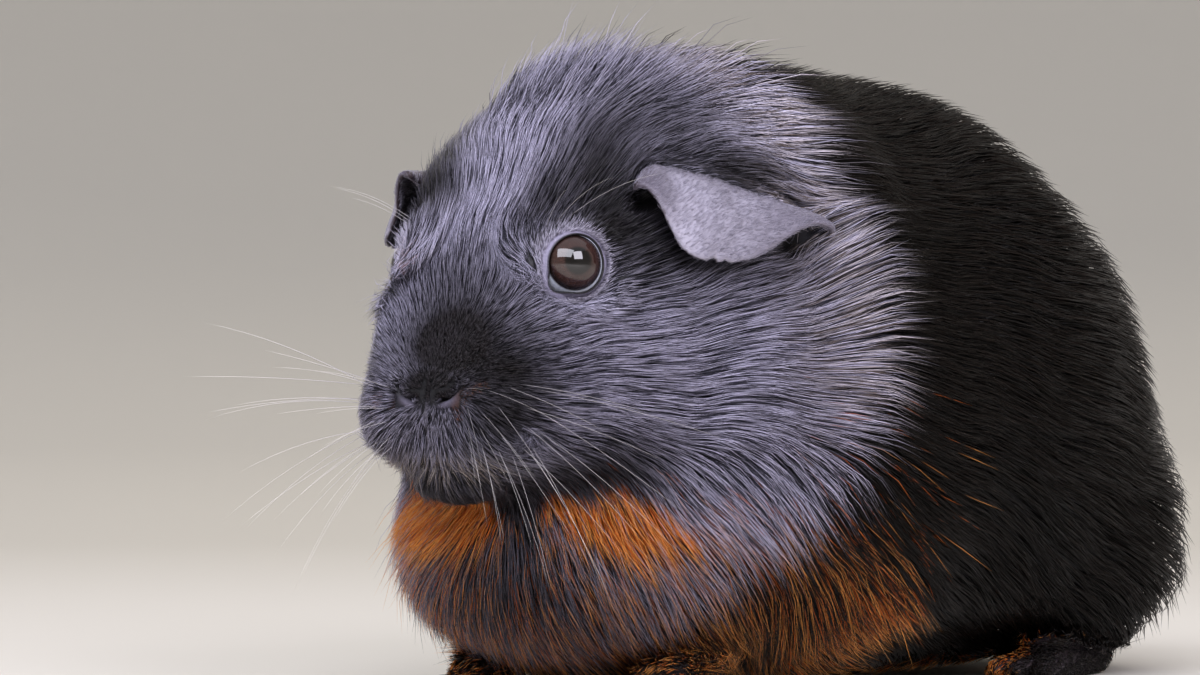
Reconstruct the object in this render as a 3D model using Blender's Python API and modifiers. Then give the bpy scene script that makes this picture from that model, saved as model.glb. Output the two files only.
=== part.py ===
"""A smooth-coated guinea pig as a still, life-size model, sitting with its head drawn back.

The solids are the animal's true outline out to the tips of its coat. Sizes are in millimetres and are
turned into metres at the end. A place is (side, station, height): side is the distance from the middle
plane, station the distance back from the nose tip, and height the distance above the floor. In the
finished model the animal faces -Y, its left side is +X, and the floor is z = 0.
"""

import math

import bmesh
import bpy
from mathutils import Matrix, Vector

# Driving dimensions, in millimetres.
BODY_LENGTH = 240.0  # nose tip to rump
CUT = 0.4  # width of the thin cuts between parts
EYE_RADIUS = 5.6
EYE_CENTRE = (14.8, 22.2, 79.2)
EYE_AXIS = (0.866, -0.5, 0.02)  # the way the left eye's lids face
EYE_HOLLOW_RADIUS = 9.5
EYE_HOLLOW_DEPTH = 3.0
NOSTRIL_CENTRE = (4.3, 1.4, 56.6)
EAR_THICKNESS = 1.2
EAR_SWELL = 2.4  # how far the ear flap arches outward
CLAW_RADIUS = 0.8
CLAW_LENGTH = 4.4
ELBOW = (27.0, 62.0, 24.0)
WRIST = (19.5, 53.0, 5.2)
FORE_TOE_SPACING = 3.5
HEEL = (37.5, 186.0, 5.0)
BALL_OF_FOOT = (41.0, 160.0, 3.9)
HIND_TOE_SPACING = 4.9

SIDES = 36  # points round each body section
REMESH_VOXEL = 1.5
BLEND_STEPS = 8
BODY_TRIANGLES = 2300
FINE_AHEAD_OF = 75.0  # the mesh is finest on the head, ahead of this station

# Profiles of the head and ruff: (station, value).
HEAD_TOP = [(0, 56), (1, 60), (3, 64.5), (6, 70), (10, 77), (15, 85.5), (20, 92.5), (25, 99),
            (30, 105), (40, 113.5), (50, 118.5), (62, 121.5), (75, 123), (90, 122.3), (98, 120), (106, 112)]
HEAD_BOTTOM = [(0, 52), (1, 48.5), (3, 46), (6, 44), (10, 42), (15, 40), (22, 37.5), (30, 35),
               (40, 33), (62, 32), (106, 40)]
HEAD_HALF_WIDTH = [(0, 3), (1, 8.5), (3, 13), (6, 16.5), (10, 19.4), (15, 22), (20, 24.5), (25, 26.8),
                   (30, 29.2), (36, 31.7), (44, 34.4), (52, 37.3), (62, 41), (75, 46), (90, 50.7),
                   (98, 49), (106, 41)]
HEAD_WIDEST = [(0, 54), (3, 55), (10, 56.5), (20, 57.5), (30, 57), (44, 56), (62, 57), (92, 60)]
HEAD_SQUARENESS = [(0, 2.3), (10, 2.5), (30, 2.5), (62, 2.4), (92, 2.3)]

# Profiles of the breast, trunk and rump.
TRUNK_TOP = [(22, 31), (24, 38), (28, 50), (34, 64), (42, 81), (50, 97), (58, 109.5), (66, 117.5),
             (76, 121), (90, 122), (110, 120.5), (132, 119.8), (150, 121), (158, 120.8), (172, 117.5),
             (185, 110.5), (198, 100.5), (212, 86), (225, 68), (234, 52), (240, 39)]
TRUNK_BOTTOM = [(22, 27), (24, 21), (28, 15.5), (34, 11.5), (42, 9), (60, 7), (100, 6), (150, 5),
                (195, 5), (215, 7.5), (228, 13), (236, 22), (240, 33)]
TRUNK_HALF_WIDTH = [(22, 3), (24, 11), (28, 20), (34, 28), (42, 35), (52, 41), (66, 45.5), (84, 49.5),
                    (105, 53), (130, 55.5), (152, 56.5), (170, 55.5), (183, 53), (194, 48.5),
                    (204, 43.5), (213, 38), (222, 31.5), (230, 23), (236, 14), (240, 4)]
TRUNK_WIDEST = [(22, 29), (34, 34), (60, 44), (100, 46), (150, 44), (200, 42), (230, 38), (240, 36)]

# The ear, from its front root (0) to its rear tip (1): where it leaves the head, and its free edge.
EAR_BASE_SIDE = [(0, 22), (0.2, 20.5), (0.45, 23.5), (0.7, 28.5), (0.88, 34.5), (1, 40)]
EAR_BASE_STATION = [(0, 31.5), (0.2, 37), (0.45, 46), (0.7, 54), (0.88, 61), (1, 65)]
EAR_BASE_HEIGHT = [(0, 92.5), (0.2, 97), (0.45, 98), (0.7, 96), (0.88, 92), (1, 87)]
EAR_EDGE_SIDE = [(0, 24), (0.12, 27), (0.25, 30), (0.4, 33), (0.52, 35.3), (0.7, 38), (0.85, 41), (1, 42)]
EAR_EDGE_STATION = [(0, 30), (0.12, 30), (0.25, 32), (0.4, 35), (0.52, 41), (0.7, 50), (0.85, 57), (1, 65.3)]
EAR_EDGE_HEIGHT = [(0, 92), (0.12, 89.5), (0.25, 84.5), (0.4, 80), (0.52, 79), (0.7, 81.5), (0.85, 86.3),
                   (1, 86)]

COLOURS = {
    "coat": ("2A2A30", 0.55),
    "breast": ("4A3324", 0.55),
    "ear": ("4B4247", 0.5),
    "eye": ("1A0E0A", 0.08),
    "foot": ("2B2527", 0.55),
    "claw": ("3B332E", 0.35),
}


def profile(knots, at):
    """The smooth curve through the knots that never overshoots them, read at one place."""
    if at <= knots[0][0]:
        return knots[0][1]
    if at >= knots[-1][0]:
        return knots[-1][1]
    slopes = [(b[1] - a[1]) / (b[0] - a[0]) for a, b in zip(knots, knots[1:])]
    index = next(i for i, knot in enumerate(knots[1:]) if at <= knot[0])
    (x0, y0), (x1, y1) = knots[index], knots[index + 1]

    def tangent(i):
        if i in (0, len(knots) - 1):
            return slopes[min(i, len(slopes) - 1)]
        before, after = slopes[i - 1], slopes[i]
        return 0.0 if before * after <= 0 else 2 * before * after / (before + after)

    width, t = x1 - x0, (at - x0) / (x1 - x0)
    return (
        (2 * t**3 - 3 * t**2 + 1) * y0
        + (t**3 - 2 * t**2 + t) * width * tangent(index)
        + (3 * t**2 - 2 * t**3) * y1
        + (t**3 - t**2) * width * tangent(index + 1)
    )


def section(station, top, bottom, half_width, widest, upper_power, lower_power):
    """One upright section of the body: two half superellipses that meet at the greatest width."""
    points = []
    for step in range(SIDES):
        angle = 2 * math.pi * step / SIDES
        power = 2 / (upper_power if math.sin(angle) > 0 else lower_power)
        side = math.copysign(abs(math.cos(angle)) ** power, math.cos(angle))
        rise = math.copysign(abs(math.sin(angle)) ** power, math.sin(angle))
        reach = top - widest if rise > 0 else widest - bottom
        points.append(Vector((half_width * side, station, widest + reach * rise)))
    return points


def from_bmesh(name, mesh):
    data = bpy.data.meshes.new(name)
    mesh.to_mesh(data)
    mesh.free()
    made = bpy.data.objects.new(name, data)
    bpy.context.scene.collection.objects.link(made)
    return made


def loft(name, sections):
    """A closed mesh through the sections, with a point at the middle of each end."""
    mesh = bmesh.new()
    loops = []
    for points in sections:
        corners = [mesh.verts.new(p) for p in points]
        loops.append([mesh.edges.new((a, b)) for a, b in zip(corners, corners[1:] + corners[:1])])
    for near, far in zip(loops, loops[1:]):
        bmesh.ops.bridge_loops(mesh, edges=near + far)
    for end in (loops[0], loops[-1]):
        cap = bmesh.ops.contextual_create(mesh, geom=end)
        bmesh.ops.poke(mesh, faces=cap["faces"])
    bmesh.ops.recalc_face_normals(mesh, faces=mesh.faces)
    return from_bmesh(name, mesh)


def ellipsoid(name, centre, radii, tilt=(0, 0, 0), rings=16):
    """An ellipsoid, turned by the tilt's degrees about X, Y and then Z."""
    mesh = bmesh.new()
    bmesh.ops.create_uvsphere(mesh, u_segments=2 * rings, v_segments=rings, radius=1)
    turn = Matrix.Identity(3)
    for axis, degrees in zip("XYZ", tilt):
        turn = Matrix.Rotation(math.radians(degrees), 3, axis) @ turn
    place = Matrix.Translation(centre) @ (turn @ Matrix.Diagonal(radii)).to_4x4()
    bmesh.ops.transform(mesh, verts=mesh.verts, matrix=place)
    return from_bmesh(name, mesh)


def limb(name, start, end, start_radius, end_radius, segments=12, caps=(22.5, 45, 67.5)):
    """A tapering rod with round ends."""
    start, end = Vector(start), Vector(end)
    axis = (end - start).normalized()
    across = Vector((0, 0, 1)).cross(axis).normalized()
    over = axis.cross(across)
    length = (end - start).length
    caps = [math.radians(cap) for cap in caps]
    rings = [(-start_radius * math.cos(a), start_radius * math.sin(a)) for a in caps]
    rings += [(length * share, start_radius + (end_radius - start_radius) * share) for share in (0, 1)]
    rings += [(length + end_radius * math.cos(a), end_radius * math.sin(a)) for a in reversed(caps)]
    sections = []
    for along, radius in rings:
        turns = [2 * math.pi * step / segments for step in range(segments)]
        middle = start + axis * along
        sections.append([middle + (across * math.cos(t) + over * math.sin(t)) * radius for t in turns])
    return loft(name, sections)


def settle(obj):
    """Applies the object's modifiers to its mesh."""
    bpy.context.view_layer.update()
    graph = bpy.context.evaluated_depsgraph_get()
    data = bpy.data.meshes.new_from_object(obj.evaluated_get(graph), depsgraph=graph)
    obj.modifiers.clear()
    obj.data = data
    return obj


def copy_of(obj, name):
    made = bpy.data.objects.new(name, obj.data.copy())
    bpy.context.scene.collection.objects.link(made)
    return made


def drop(*objects):
    for obj in objects:
        bpy.data.objects.remove(obj)


def joined(name, objects):
    """The objects' meshes in one mesh, which may still overlap."""
    mesh = bmesh.new()
    for obj in objects:
        mesh.from_mesh(obj.data)
    drop(*objects)
    return from_bmesh(name, mesh)


def boolean(obj, other, operation):
    modifier = obj.modifiers.new(operation.lower(), "BOOLEAN")
    modifier.operation = operation
    modifier.object = other
    return settle(obj)


def united(name, objects):
    """The objects fused into one closed body."""
    first, rest = objects[0], objects[1:]
    for obj in rest:
        boolean(first, obj, "UNION")
    drop(*rest)
    first.name = name
    return first


def cut_away(obj, maker):
    """Removes the maker's shape, grown by the width of a cut, from the object."""
    cutter = maker(CUT)
    boolean(obj, cutter, "DIFFERENCE")
    drop(cutter)


def kept_side(obj, point, normal):
    """Cuts the object with a plane, keeps what lies on the normal's side, and closes the cut."""
    mesh = bmesh.new()
    mesh.from_mesh(obj.data)
    everything = mesh.verts[:] + mesh.edges[:] + mesh.faces[:]
    bmesh.ops.bisect_plane(mesh, geom=everything, dist=1e-4, plane_co=point, plane_no=normal, clear_inner=True)
    bmesh.ops.triangle_fill(mesh, edges=[edge for edge in mesh.edges if edge.is_boundary], use_beauty=True)
    bmesh.ops.recalc_face_normals(mesh, faces=mesh.faces)
    mesh.to_mesh(obj.data)
    mesh.free()
    return obj


def parted(obj, front_name, back_name, upper, lower):
    """Parts the object with a plane across the body that passes through two (station, height) points."""
    (s0, z0), (s1, z1) = upper, lower
    along = Vector((0, s0 - s1, z0 - z1)).normalized()
    backward = along.cross(Vector((1, 0, 0)))
    middle = Vector((0, s0, z0))
    front = kept_side(copy_of(obj, front_name), middle - backward * CUT / 2, -backward)
    back = kept_side(copy_of(obj, back_name), middle + backward * CUT / 2, backward)
    drop(obj)
    return front, back


def on_sides(maker):
    """Runs a maker for the left side, +X, and for the right side."""
    return [maker(side, word) for side, word in ((1, "left"), (-1, "right"))]


def mirrored(place, side):
    return (side * place[0], place[1], place[2])


# The forms of the body.


def head_form():
    stations = [0.05, 0.5, 1.2, 2.2, 3.5, 5, 7, 9.5, 12.5, 16, 20, 24, 28, 32, 37, 42, 48, 55, 63, 72,
                81, 89, 95, 100, 106]
    sections = []
    for at in stations:
        shape = [profile(knots, at) for knots in (HEAD_TOP, HEAD_BOTTOM, HEAD_HALF_WIDTH, HEAD_WIDEST)]
        sections.append(section(at, *shape, profile(HEAD_SQUARENESS, at), 2.5))
    return loft("head_form", sections)


def trunk_form():
    stations = [22.1, 23, 25, 28, 32, 37, 43, 50, 58, 67, 77, 88, 100, 113, 126, 140, 154, 168, 181,
                193, 204, 213, 221, 228, 233, 237, 239.4]
    sections = []
    for at in stations:
        shape = [profile(knots, at) for knots in (TRUNK_TOP, TRUNK_BOTTOM, TRUNK_HALF_WIDTH, TRUNK_WIDEST)]
        sections.append(section(at, *shape, 2.05, 2.5))
    return loft("trunk_form", sections)


def whisker_pad(side, word):
    return ellipsoid(f"whisker_pad_{word}", (side * 9, 8.5, 53), (9.5, 8.5, 8.5))


def thigh_form(side, word):
    return ellipsoid(f"thigh_form_{word}", (side * 36.5, 181, 30), (19, 33, 27), tilt=(8, 0, 0))


def hollow(body, centre, axis):
    """Presses in the coat round an eye, where the hair is short."""
    centre, axis = Vector(centre), Vector(axis).normalized()
    for corner in body.data.vertices:
        near = max(0.0, 1 - ((corner.co - centre - axis * EYE_RADIUS).length / EYE_HOLLOW_RADIUS) ** 2)
        corner.co -= axis * EYE_HOLLOW_DEPTH * near**2


def whole_body():
    """The forms melted into one skin, as clay is pressed together, and thinned to a light mesh."""
    forms = [head_form(), trunk_form(), ellipsoid("chin", (0, 12.5, 41.5), (9, 9.5, 5.5))]
    forms += on_sides(whisker_pad) + on_sides(thigh_form)
    body = joined("body", forms)
    melt = body.modifiers.new("melt", "REMESH")
    melt.mode = "VOXEL"
    melt.voxel_size = REMESH_VOXEL
    blend = body.modifiers.new("blend", "SMOOTH")
    blend.factor = 0.5
    blend.iterations = BLEND_STEPS
    settle(body)
    for side in (1, -1):
        hollow(body, mirrored(EYE_CENTRE, side), mirrored(EYE_AXIS, side))
    plain = body.vertex_groups.new(name="plain")
    for corner in body.data.vertices:
        plain.add([corner.index], 1.0 if corner.co.y > FINE_AHEAD_OF else 0.2, "REPLACE")
    thin_out = body.modifiers.new("thin_out", "DECIMATE")
    thin_out.vertex_group = plain.name
    thin_out.ratio = BODY_TRIANGLES / sum(len(face.vertices) - 2 for face in body.data.polygons)
    settle(body)
    body.vertex_groups.clear()
    mesh = bmesh.new()
    mesh.from_mesh(body.data)
    bmesh.ops.symmetrize(mesh, input=mesh.verts[:] + mesh.edges[:] + mesh.faces[:], direction="X", dist=1e-3)
    mesh.to_mesh(body.data)
    mesh.free()
    return body


# The parts that are set into the body. Each maker takes how much to grow its shape for a cut.


def eyeball(side, grow=0.0):
    return ellipsoid("eyeball", mirrored(EYE_CENTRE, side), [EYE_RADIUS + grow] * 3, rings=8)


def ear_point(share, down):
    """A point of the ear's middle surface: share runs front to rear, down from the head to the edge."""
    base = Vector([profile(knots, share) for knots in (EAR_BASE_SIDE, EAR_BASE_STATION, EAR_BASE_HEIGHT)])
    edge = Vector([profile(knots, share) for knots in (EAR_EDGE_SIDE, EAR_EDGE_STATION, EAR_EDGE_HEIGHT)])
    swell = EAR_SWELL * math.sin(math.pi * down) * math.sin(math.pi * share) ** 0.5
    return base.lerp(edge, down) + Vector((0.8, -0.1, 0.6)) * swell


def ear(side, grow=0.0):
    """The ear as a thin curved plate."""
    across, down = 13, 5
    mesh = bmesh.new()
    bmesh.ops.create_grid(mesh, x_segments=across, y_segments=down, size=0.5)
    for corner in mesh.verts:
        share = 0.04 + 0.92 * (corner.co.x + 0.5)
        corner.co = mirrored(ear_point(share, corner.co.y + 0.5), side)
    bmesh.ops.recalc_face_normals(mesh, faces=mesh.faces)
    made = from_bmesh("ear", mesh)
    plate = made.modifiers.new("plate", "SOLIDIFY")
    plate.thickness = EAR_THICKNESS
    plate.offset = 0
    settle(made)
    mesh = bmesh.new()
    mesh.from_mesh(made.data)
    bmesh.ops.recalc_face_normals(mesh, faces=mesh.faces)
    for corner in mesh.verts:
        corner.co += corner.normal * grow * 1.5
    mesh.to_mesh(made.data)
    mesh.free()
    return made


def foreleg_territory(side, grow=0.0):
    centre = (side * 43, 62, 19)
    return ellipsoid("foreleg_territory", centre, (17 + grow, 19 + grow, 20 + grow), tilt=(-14, 0, 0), rings=7)


def forearm(side, grow=0.0):
    ends = [mirrored(place, side) for place in (ELBOW, WRIST)]
    return limb("forearm", *ends, 8.5 + grow, 4.4 + grow, segments=10, caps=(45,))


def thigh_territory(side, grow=0.0):
    centre = (side * 45, 182, 26)
    return ellipsoid("thigh_territory", centre, (22 + grow, 35 + grow, 29 + grow), tilt=(8, 0, 0), rings=7)


def toe_ends(side, root, spread, count, reach, drop_to):
    """The two ends of each toe, fanned out in front of the foot's root."""
    ends = []
    for number in range(count):
        off = number - (count - 1) / 2
        short = 1.3 * abs(off)
        near = Vector((side * root[0] + off * spread * 0.55, root[1] - 1, root[2] - 0.6))
        far = Vector((side * root[0] + off * spread, root[1] - reach + short, drop_to))
        ends.append((near, far))
    return ends


def fore_toes(side):
    palm = (WRIST[0] + 0.7, WRIST[1] - 8, 3.4)
    return toe_ends(side, palm, FORE_TOE_SPACING, 4, 9.5, 1.5)


def hind_toes(side):
    return toe_ends(side, BALL_OF_FOOT, HIND_TOE_SPACING, 3, 13, 1.9)


def palm(side, grow=0.0):
    front = (side * (WRIST[0] + 0.7), WRIST[1] - 8, 3.0)
    return limb("palm", mirrored(WRIST, side), front, 4.6 + grow, 4.3 + grow, segments=8, caps=(30, 60))


def instep(side, grow=0.0):
    ends = [mirrored(place, side) for place in (HEEL, BALL_OF_FOOT)]
    return limb("instep", *ends, 5.6 + grow, 5.0 + grow, segments=10, caps=(30, 60))


def foot(root, toes, near_radius, far_radius):
    """The palm or instep with its toes."""
    pieces = [root]
    for near, far in toes:
        pieces.append(limb("toe", near, far, near_radius, far_radius, segments=6, caps=(45,)))
    return united("foot", pieces)


def claw(toe, grow=0.0):
    """A tapering claw that leaves the toe's tip forward and a little down."""
    near, far = toe
    ahead = (far - near).normalized()
    ahead.z = -0.03
    start = far + ahead * 0.4
    start.z = CLAW_RADIUS + 0.35
    return limb("claw", start, start + ahead * CLAW_LENGTH, CLAW_RADIUS + grow, 0.4 + grow, segments=6, caps=(45,))


# The model.


def coloured(obj, name, kind):
    """Gives a finished part its name and its own material."""
    obj.name = name
    shade, roughness = COLOURS[kind]
    material = bpy.data.materials.new(name)
    material.use_nodes = True
    shader = material.node_tree.nodes["Principled BSDF"]
    linear = [(int(shade[i:i + 2], 16) / 255) ** 2.2 for i in (0, 2, 4)]
    shader.inputs["Base Color"].default_value = (*linear, 1)
    shader.inputs["Roughness"].default_value = roughness
    obj.data.materials.clear()
    obj.data.materials.append(material)
    return obj


def set_in_head(head, neck, side, word):
    """Carves the eye socket, nostril and ear slot, and fills the first and last."""
    cut_away(head, lambda grow: eyeball(side, grow))
    for part in (head, neck):
        cut_away(part, lambda grow: ear(side, grow))
    nostril = ellipsoid("nostril", mirrored(NOSTRIL_CENTRE, side), (1.3, 2.4, 0.9), tilt=(0, side * 30, 0), rings=8)
    boolean(head, nostril, "DIFFERENCE")
    drop(nostril)
    coloured(eyeball(side), f"{word}_eye", "eye")
    coloured(ear(side), f"{word}_ear", "ear")


def limb_part(trunk, territory, side):
    """The trunk's surface over one limb becomes that limb's own solid."""
    whole = territory(side)
    part = boolean(copy_of(trunk, "limb_part"), whole, "INTERSECT")
    drop(whole)
    cut_away(trunk, lambda grow: territory(side, grow))
    return part


def with_claws(foot, toes, name):
    """Sets a claw in each toe and lays the sole flat on the floor."""
    for number, toe in enumerate(toes, start=1):
        cut_away(foot, lambda grow, toe=toe: claw(toe, grow))
        coloured(claw(toe), f"{name}_claw_{number}", "claw")
    kept_side(foot, (0, 0, 0), (0, 0, 1))
    return coloured(foot, name, "foot")


def build_limbs(trunk, side, word):
    shoulder = limb_part(trunk, foreleg_territory, side)
    arm = united("foreleg", [shoulder, forearm(side)])
    cut_away(trunk, lambda grow: forearm(side, grow))
    cut_away(arm, lambda grow: palm(side, grow))
    coloured(arm, f"{word}_foreleg", "coat")
    with_claws(foot(palm(side), fore_toes(side), 2.2, 1.8), fore_toes(side), f"{word}_forefoot")

    haunch = limb_part(trunk, thigh_territory, side)
    cut_away(haunch, lambda grow: instep(side, grow))
    coloured(haunch, f"{word}_thigh", "coat")
    with_claws(foot(instep(side), hind_toes(side), 2.8, 2.2), hind_toes(side), f"{word}_hindfoot")


def main():
    for obj in list(bpy.data.objects):
        bpy.data.objects.remove(obj)
    head, rest = parted(whole_body(), "head", "rest", upper=(70, 122), lower=(23, 36))
    lower_jaw, head = parted(head, "lower_jaw", "head", upper=(-2, 44.5), lower=(30, 38.5))
    neck, trunk = parted(rest, "neck", "trunk", upper=(104, 125), lower=(22, 24))
    for side, word in ((1, "left"), (-1, "right")):
        set_in_head(head, neck, side, word)
        build_limbs(trunk, side, word)
    coloured(head, "head", "coat")
    coloured(lower_jaw, "lower_jaw", "breast")
    coloured(neck, "neck", "coat")
    coloured(trunk, "trunk", "coat")
    reach = [corner.co.y for obj in bpy.data.objects for corner in obj.data.vertices]
    to_metres = Matrix.Scale(0.001, 4) @ Matrix.Translation((0, -(min(reach) + max(reach)) / 2, 0))
    for obj in bpy.data.objects:
        obj.data.transform(to_metres)
        obj.data.shade_smooth()


main()
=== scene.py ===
"""The looks of a smooth-coated black and tan guinea pig that sits with its head drawn back.

Shapes are worked out in millimetres as (side, station, height): side is the distance to the animal's left of
its middle plane, station the distance back from the nose tip, and height the distance above the floor. A
finished mesh is turned into metres in the frame's own place, where the animal faces -Y and its left is +X.
"""

import itertools
import math

import bmesh
import bpy
import numpy as np
from mathutils import Matrix, Vector
from mathutils.bvhtree import BVHTree
from mathutils.kdtree import KDTree


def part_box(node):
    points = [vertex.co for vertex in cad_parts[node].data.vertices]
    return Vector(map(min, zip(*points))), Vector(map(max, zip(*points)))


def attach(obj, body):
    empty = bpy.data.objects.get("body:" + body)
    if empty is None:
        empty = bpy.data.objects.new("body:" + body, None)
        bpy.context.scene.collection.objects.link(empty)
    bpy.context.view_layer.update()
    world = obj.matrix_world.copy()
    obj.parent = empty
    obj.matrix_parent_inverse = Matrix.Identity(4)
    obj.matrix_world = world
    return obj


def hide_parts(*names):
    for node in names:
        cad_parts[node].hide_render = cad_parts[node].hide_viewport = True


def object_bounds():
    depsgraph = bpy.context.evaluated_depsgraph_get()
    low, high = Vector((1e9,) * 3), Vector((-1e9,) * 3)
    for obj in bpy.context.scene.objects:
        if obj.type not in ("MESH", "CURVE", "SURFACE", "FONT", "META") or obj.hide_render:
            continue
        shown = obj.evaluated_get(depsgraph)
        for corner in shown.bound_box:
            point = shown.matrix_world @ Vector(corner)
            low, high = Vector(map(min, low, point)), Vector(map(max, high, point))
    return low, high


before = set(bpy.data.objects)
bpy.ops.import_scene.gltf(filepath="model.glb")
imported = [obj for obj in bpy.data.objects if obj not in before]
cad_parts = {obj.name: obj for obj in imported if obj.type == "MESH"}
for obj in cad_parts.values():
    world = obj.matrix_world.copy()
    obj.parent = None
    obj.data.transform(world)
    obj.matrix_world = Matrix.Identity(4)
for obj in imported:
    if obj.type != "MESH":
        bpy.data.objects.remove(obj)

CAD_BOX = [list(corner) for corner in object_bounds()]
TO_MM = Matrix.Scale(1000, 4) @ Matrix.Translation((0, -CAD_BOX[0][1], 0))
TO_FRAME = TO_MM.inverted()
CHANCE = np.random.default_rng(7)
MM = 0.001  # a millimetre, in the frame's metres

SIDES = ((1, "left"), (-1, "right"))
CUT_COVER = 0.35  # how far the flesh parts are swollen so that the thin cuts between them close
BASE_VOXEL = 1.4
SKIN_VOXEL = 0.5
SKIN_TRIANGLES = 125000

# How deep the coat is over the skin, by station.
COAT_DEPTH = [(0, 0.7), (5, 1.0), (12, 1.8), (22, 2.8), (40, 4.4), (62, 6.0), (80, 6.5), (110, 5.5),
              (200, 5.5), (240, 4.5)]
# How long the hairs are, by station, above the belly.
HAIR_LENGTH = [(0, 2.2), (4, 3.6), (10, 6.5), (20, 9.5), (32, 12), (45, 15), (62, 18), (80, 21), (240, 22)]
HAIR_WIDTH = [(0, 0.1), (10, 0.11), (25, 0.12), (45, 0.14), (70, 0.18), (90, 0.29), (110, 0.36), (240, 0.38)]
# Behind this station the roots of the head's frosted ruff end, by height.
RUFF_EDGE = [(20, 36), (32, 45), (37, 53), (45, 64), (59, 72), (85, 75), (95, 69), (112, 68)]

WHORL = np.array([0.0, -5.0, 58.0])  # the hair of the face runs away from this point, in front of the nose
NOSTRIL = (4.4, 1.2, 56.8)
SLIT_START, SLIT_RUN = (2.6, 55.4), (3.6, 2.6)  # the left nostril's slit, low beside the septum, and its run
SLIT_BEND = 0.9  # how far the slit bows upward, like a comma
LID_AXIS = Vector((0.866, -0.5, 0.02)).normalized()  # the way the left eye's lids face
GAZE = Vector((0.752, -0.655, 0.085)).normalized()  # the way the left eye looks
PUPIL, IRIS, LIMBUS = 2.4, 4.65, 4.95  # radii on the eyeball, across the gaze

# The ear, from its front root (0) to its rear tip (1): where it leaves the head, and its free edge.
EAR_BASE = (
    [(0, 23), (0.1, 21.5), (0.2, 21.5), (0.45, 25), (0.7, 30.5), (0.88, 37), (1, 41)],
    [(0, 33.5), (0.1, 36), (0.2, 38.5), (0.45, 47), (0.7, 56.5), (0.88, 62.5), (1, 67.5)],
    [(0, 93.2), (0.1, 95.2), (0.2, 96.4), (0.45, 95.8), (0.7, 92.6), (0.88, 89.2), (1, 87)],
)
EAR_EDGE = (
    [(0, 24.4), (0.05, 25.6), (0.1, 27.2), (0.15, 28.5), (0.21, 29.9), (0.27, 30.9), (0.34, 31.9),
     (0.41, 33.1), (0.48, 34.7), (0.54, 35.6), (0.61, 36.6), (0.68, 37.7), (0.75, 38.9), (0.82, 40.3),
     (0.88, 41.7), (0.93, 42.8), (0.97, 43.5), (1, 42.8)],
    [(0, 29), (0.05, 28.5), (0.1, 28.6), (0.15, 29.1), (0.21, 29.4), (0.27, 29.7), (0.34, 30.2),
     (0.41, 31.4), (0.48, 34.4), (0.54, 38.2), (0.61, 42), (0.68, 46), (0.75, 50), (0.82, 54),
     (0.88, 57.6), (0.93, 61.2), (0.97, 64.8), (1, 66)],
    [(0, 91.4), (0.05, 92.8), (0.1, 92.4), (0.15, 91.1), (0.21, 88.9), (0.27, 86.6), (0.34, 84.2),
     (0.41, 81.6), (0.48, 79.9), (0.54, 79.3), (0.61, 79.4), (0.68, 79.9), (0.75, 81.3), (0.82, 83.9),
     (0.88, 86), (0.93, 86.8), (0.97, 86.3), (1, 84)],
)
EAR_NICKS = ((0.53, 0.008), (0.585, 0.007))  # two old tears in the free edge: share and half width
NICK_DEPTH = 0.09  # of the way from free edge to head

# The hollow in front of the ear's root and the one under its rear tip: place and radii. Both are sunk into
# the head and painted near-black as painted shade.
HOLLOWS = (((24.2, 33.8, 90.5), (2.3, 2.6, 2.1)), ((38.6, 66.5, 84.6), (5.5, 6.5, 1.9)))

# Where the head's coat is painted darker, partly as dark coat and partly as painted shade: place on either
# side, radii, and how much of the frosting is lost.
DARK_COAT_AND_SHADE = (
    ((15, 24.5, 94), (5, 7, 9.5), 0.97),
    ((10.5, 18.5, 87), (4, 5, 5.5), 0.8),
    ((14.5, 31, 99), (5, 6, 5), 0.6),
    ((17, 41, 104.5), (8, 8, 3.5), 0.5),
    ((0, 8.5, 75), (9, 6, 5.5), 0.5),
    ((20, 26, 84), (6, 7, 8), 0.95),
    ((26, 32, 80), (5, 8, 6), 0.85),
    # Painted shade in front of the ear, above its top and in the hollow under its rear tip.
    ((24, 33, 90), (5, 7, 5.5), 0.95),
    ((29.5, 53, 97), (5, 10, 3.5), 0.85),
    ((37, 60, 83), (6, 8, 3), 0.9),
    ((23, 41, 102), (8, 9, 7), 0.6),
    ((-1, 31, 110), (7, 7, 5.2), 0.95),
    ((0, 50, 116), (14, 15, 4.5), 0.75),
    ((4, 20, 37), (6, 10, 9), 0.92),
    ((4, 22, 24), (8, 12, 8), 0.5),
    # Painted shade under the jaw and cheek, under the ear's free edge, and on the chin.
    ((19, 19, 43.5), (15, 9.5, 5), 0.95),
    ((21.5, 24, 46), (7, 8, 4.5), 0.75),
    ((34, 46, 76), (6, 13, 3.5), 0.6),
    ((0, 7, 41), (14, 11, 5.5), 0.97),
)

# Painted shade on the left side alone, on its muzzle and brow.
LEFT_PAINTED_SHADE = (
    ((12.5, 4, 60), (6, 6, 4.5), 0.95),
    ((12.5, 3, 53), (6, 6, 5), 0.92),
    ((19, 15, 92), (3.5, 6, 8), 0.6),
)

# Where the hair is longer, stands up more or is less smooth: place on either side, radii, and what is added.
HAIR_PATCHES = (
    ((0, 35, 111), (17, 16, 9), {"length": 3.0, "lift": 0.7, "extra": 1.0, "ragged": 0.6}),  # crest
    ((5, 4, 47), (9, 7, 5), {"length": 2.5, "lift": 1.0, "ragged": 0.6}),  # lips
    ((12, 6, 53), (7, 8, 8), {"length": 1.5, "lift": 0.5}),  # whisker pads
)
HAIRS_IN_LOCK = 9
GUARD_SHARE = 0.36  # of all hairs
LONG_HAIR = 10  # longer hairs get one more ring
BANDS = (14, 33, 50, 66, 84, 115, 150, 185)  # stations where one coat piece ends and the next starts


# Sums on places.


def rise(start, end, value):
    """0 before start, 1 after end, and a smooth step between."""
    share = np.clip((np.asarray(value, float) - start) / (end - start), 0, 1)
    return share * share * (3 - 2 * share)


def read(knots, at):
    xs, ys = zip(*knots)
    return np.interp(at, xs, ys)


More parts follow.
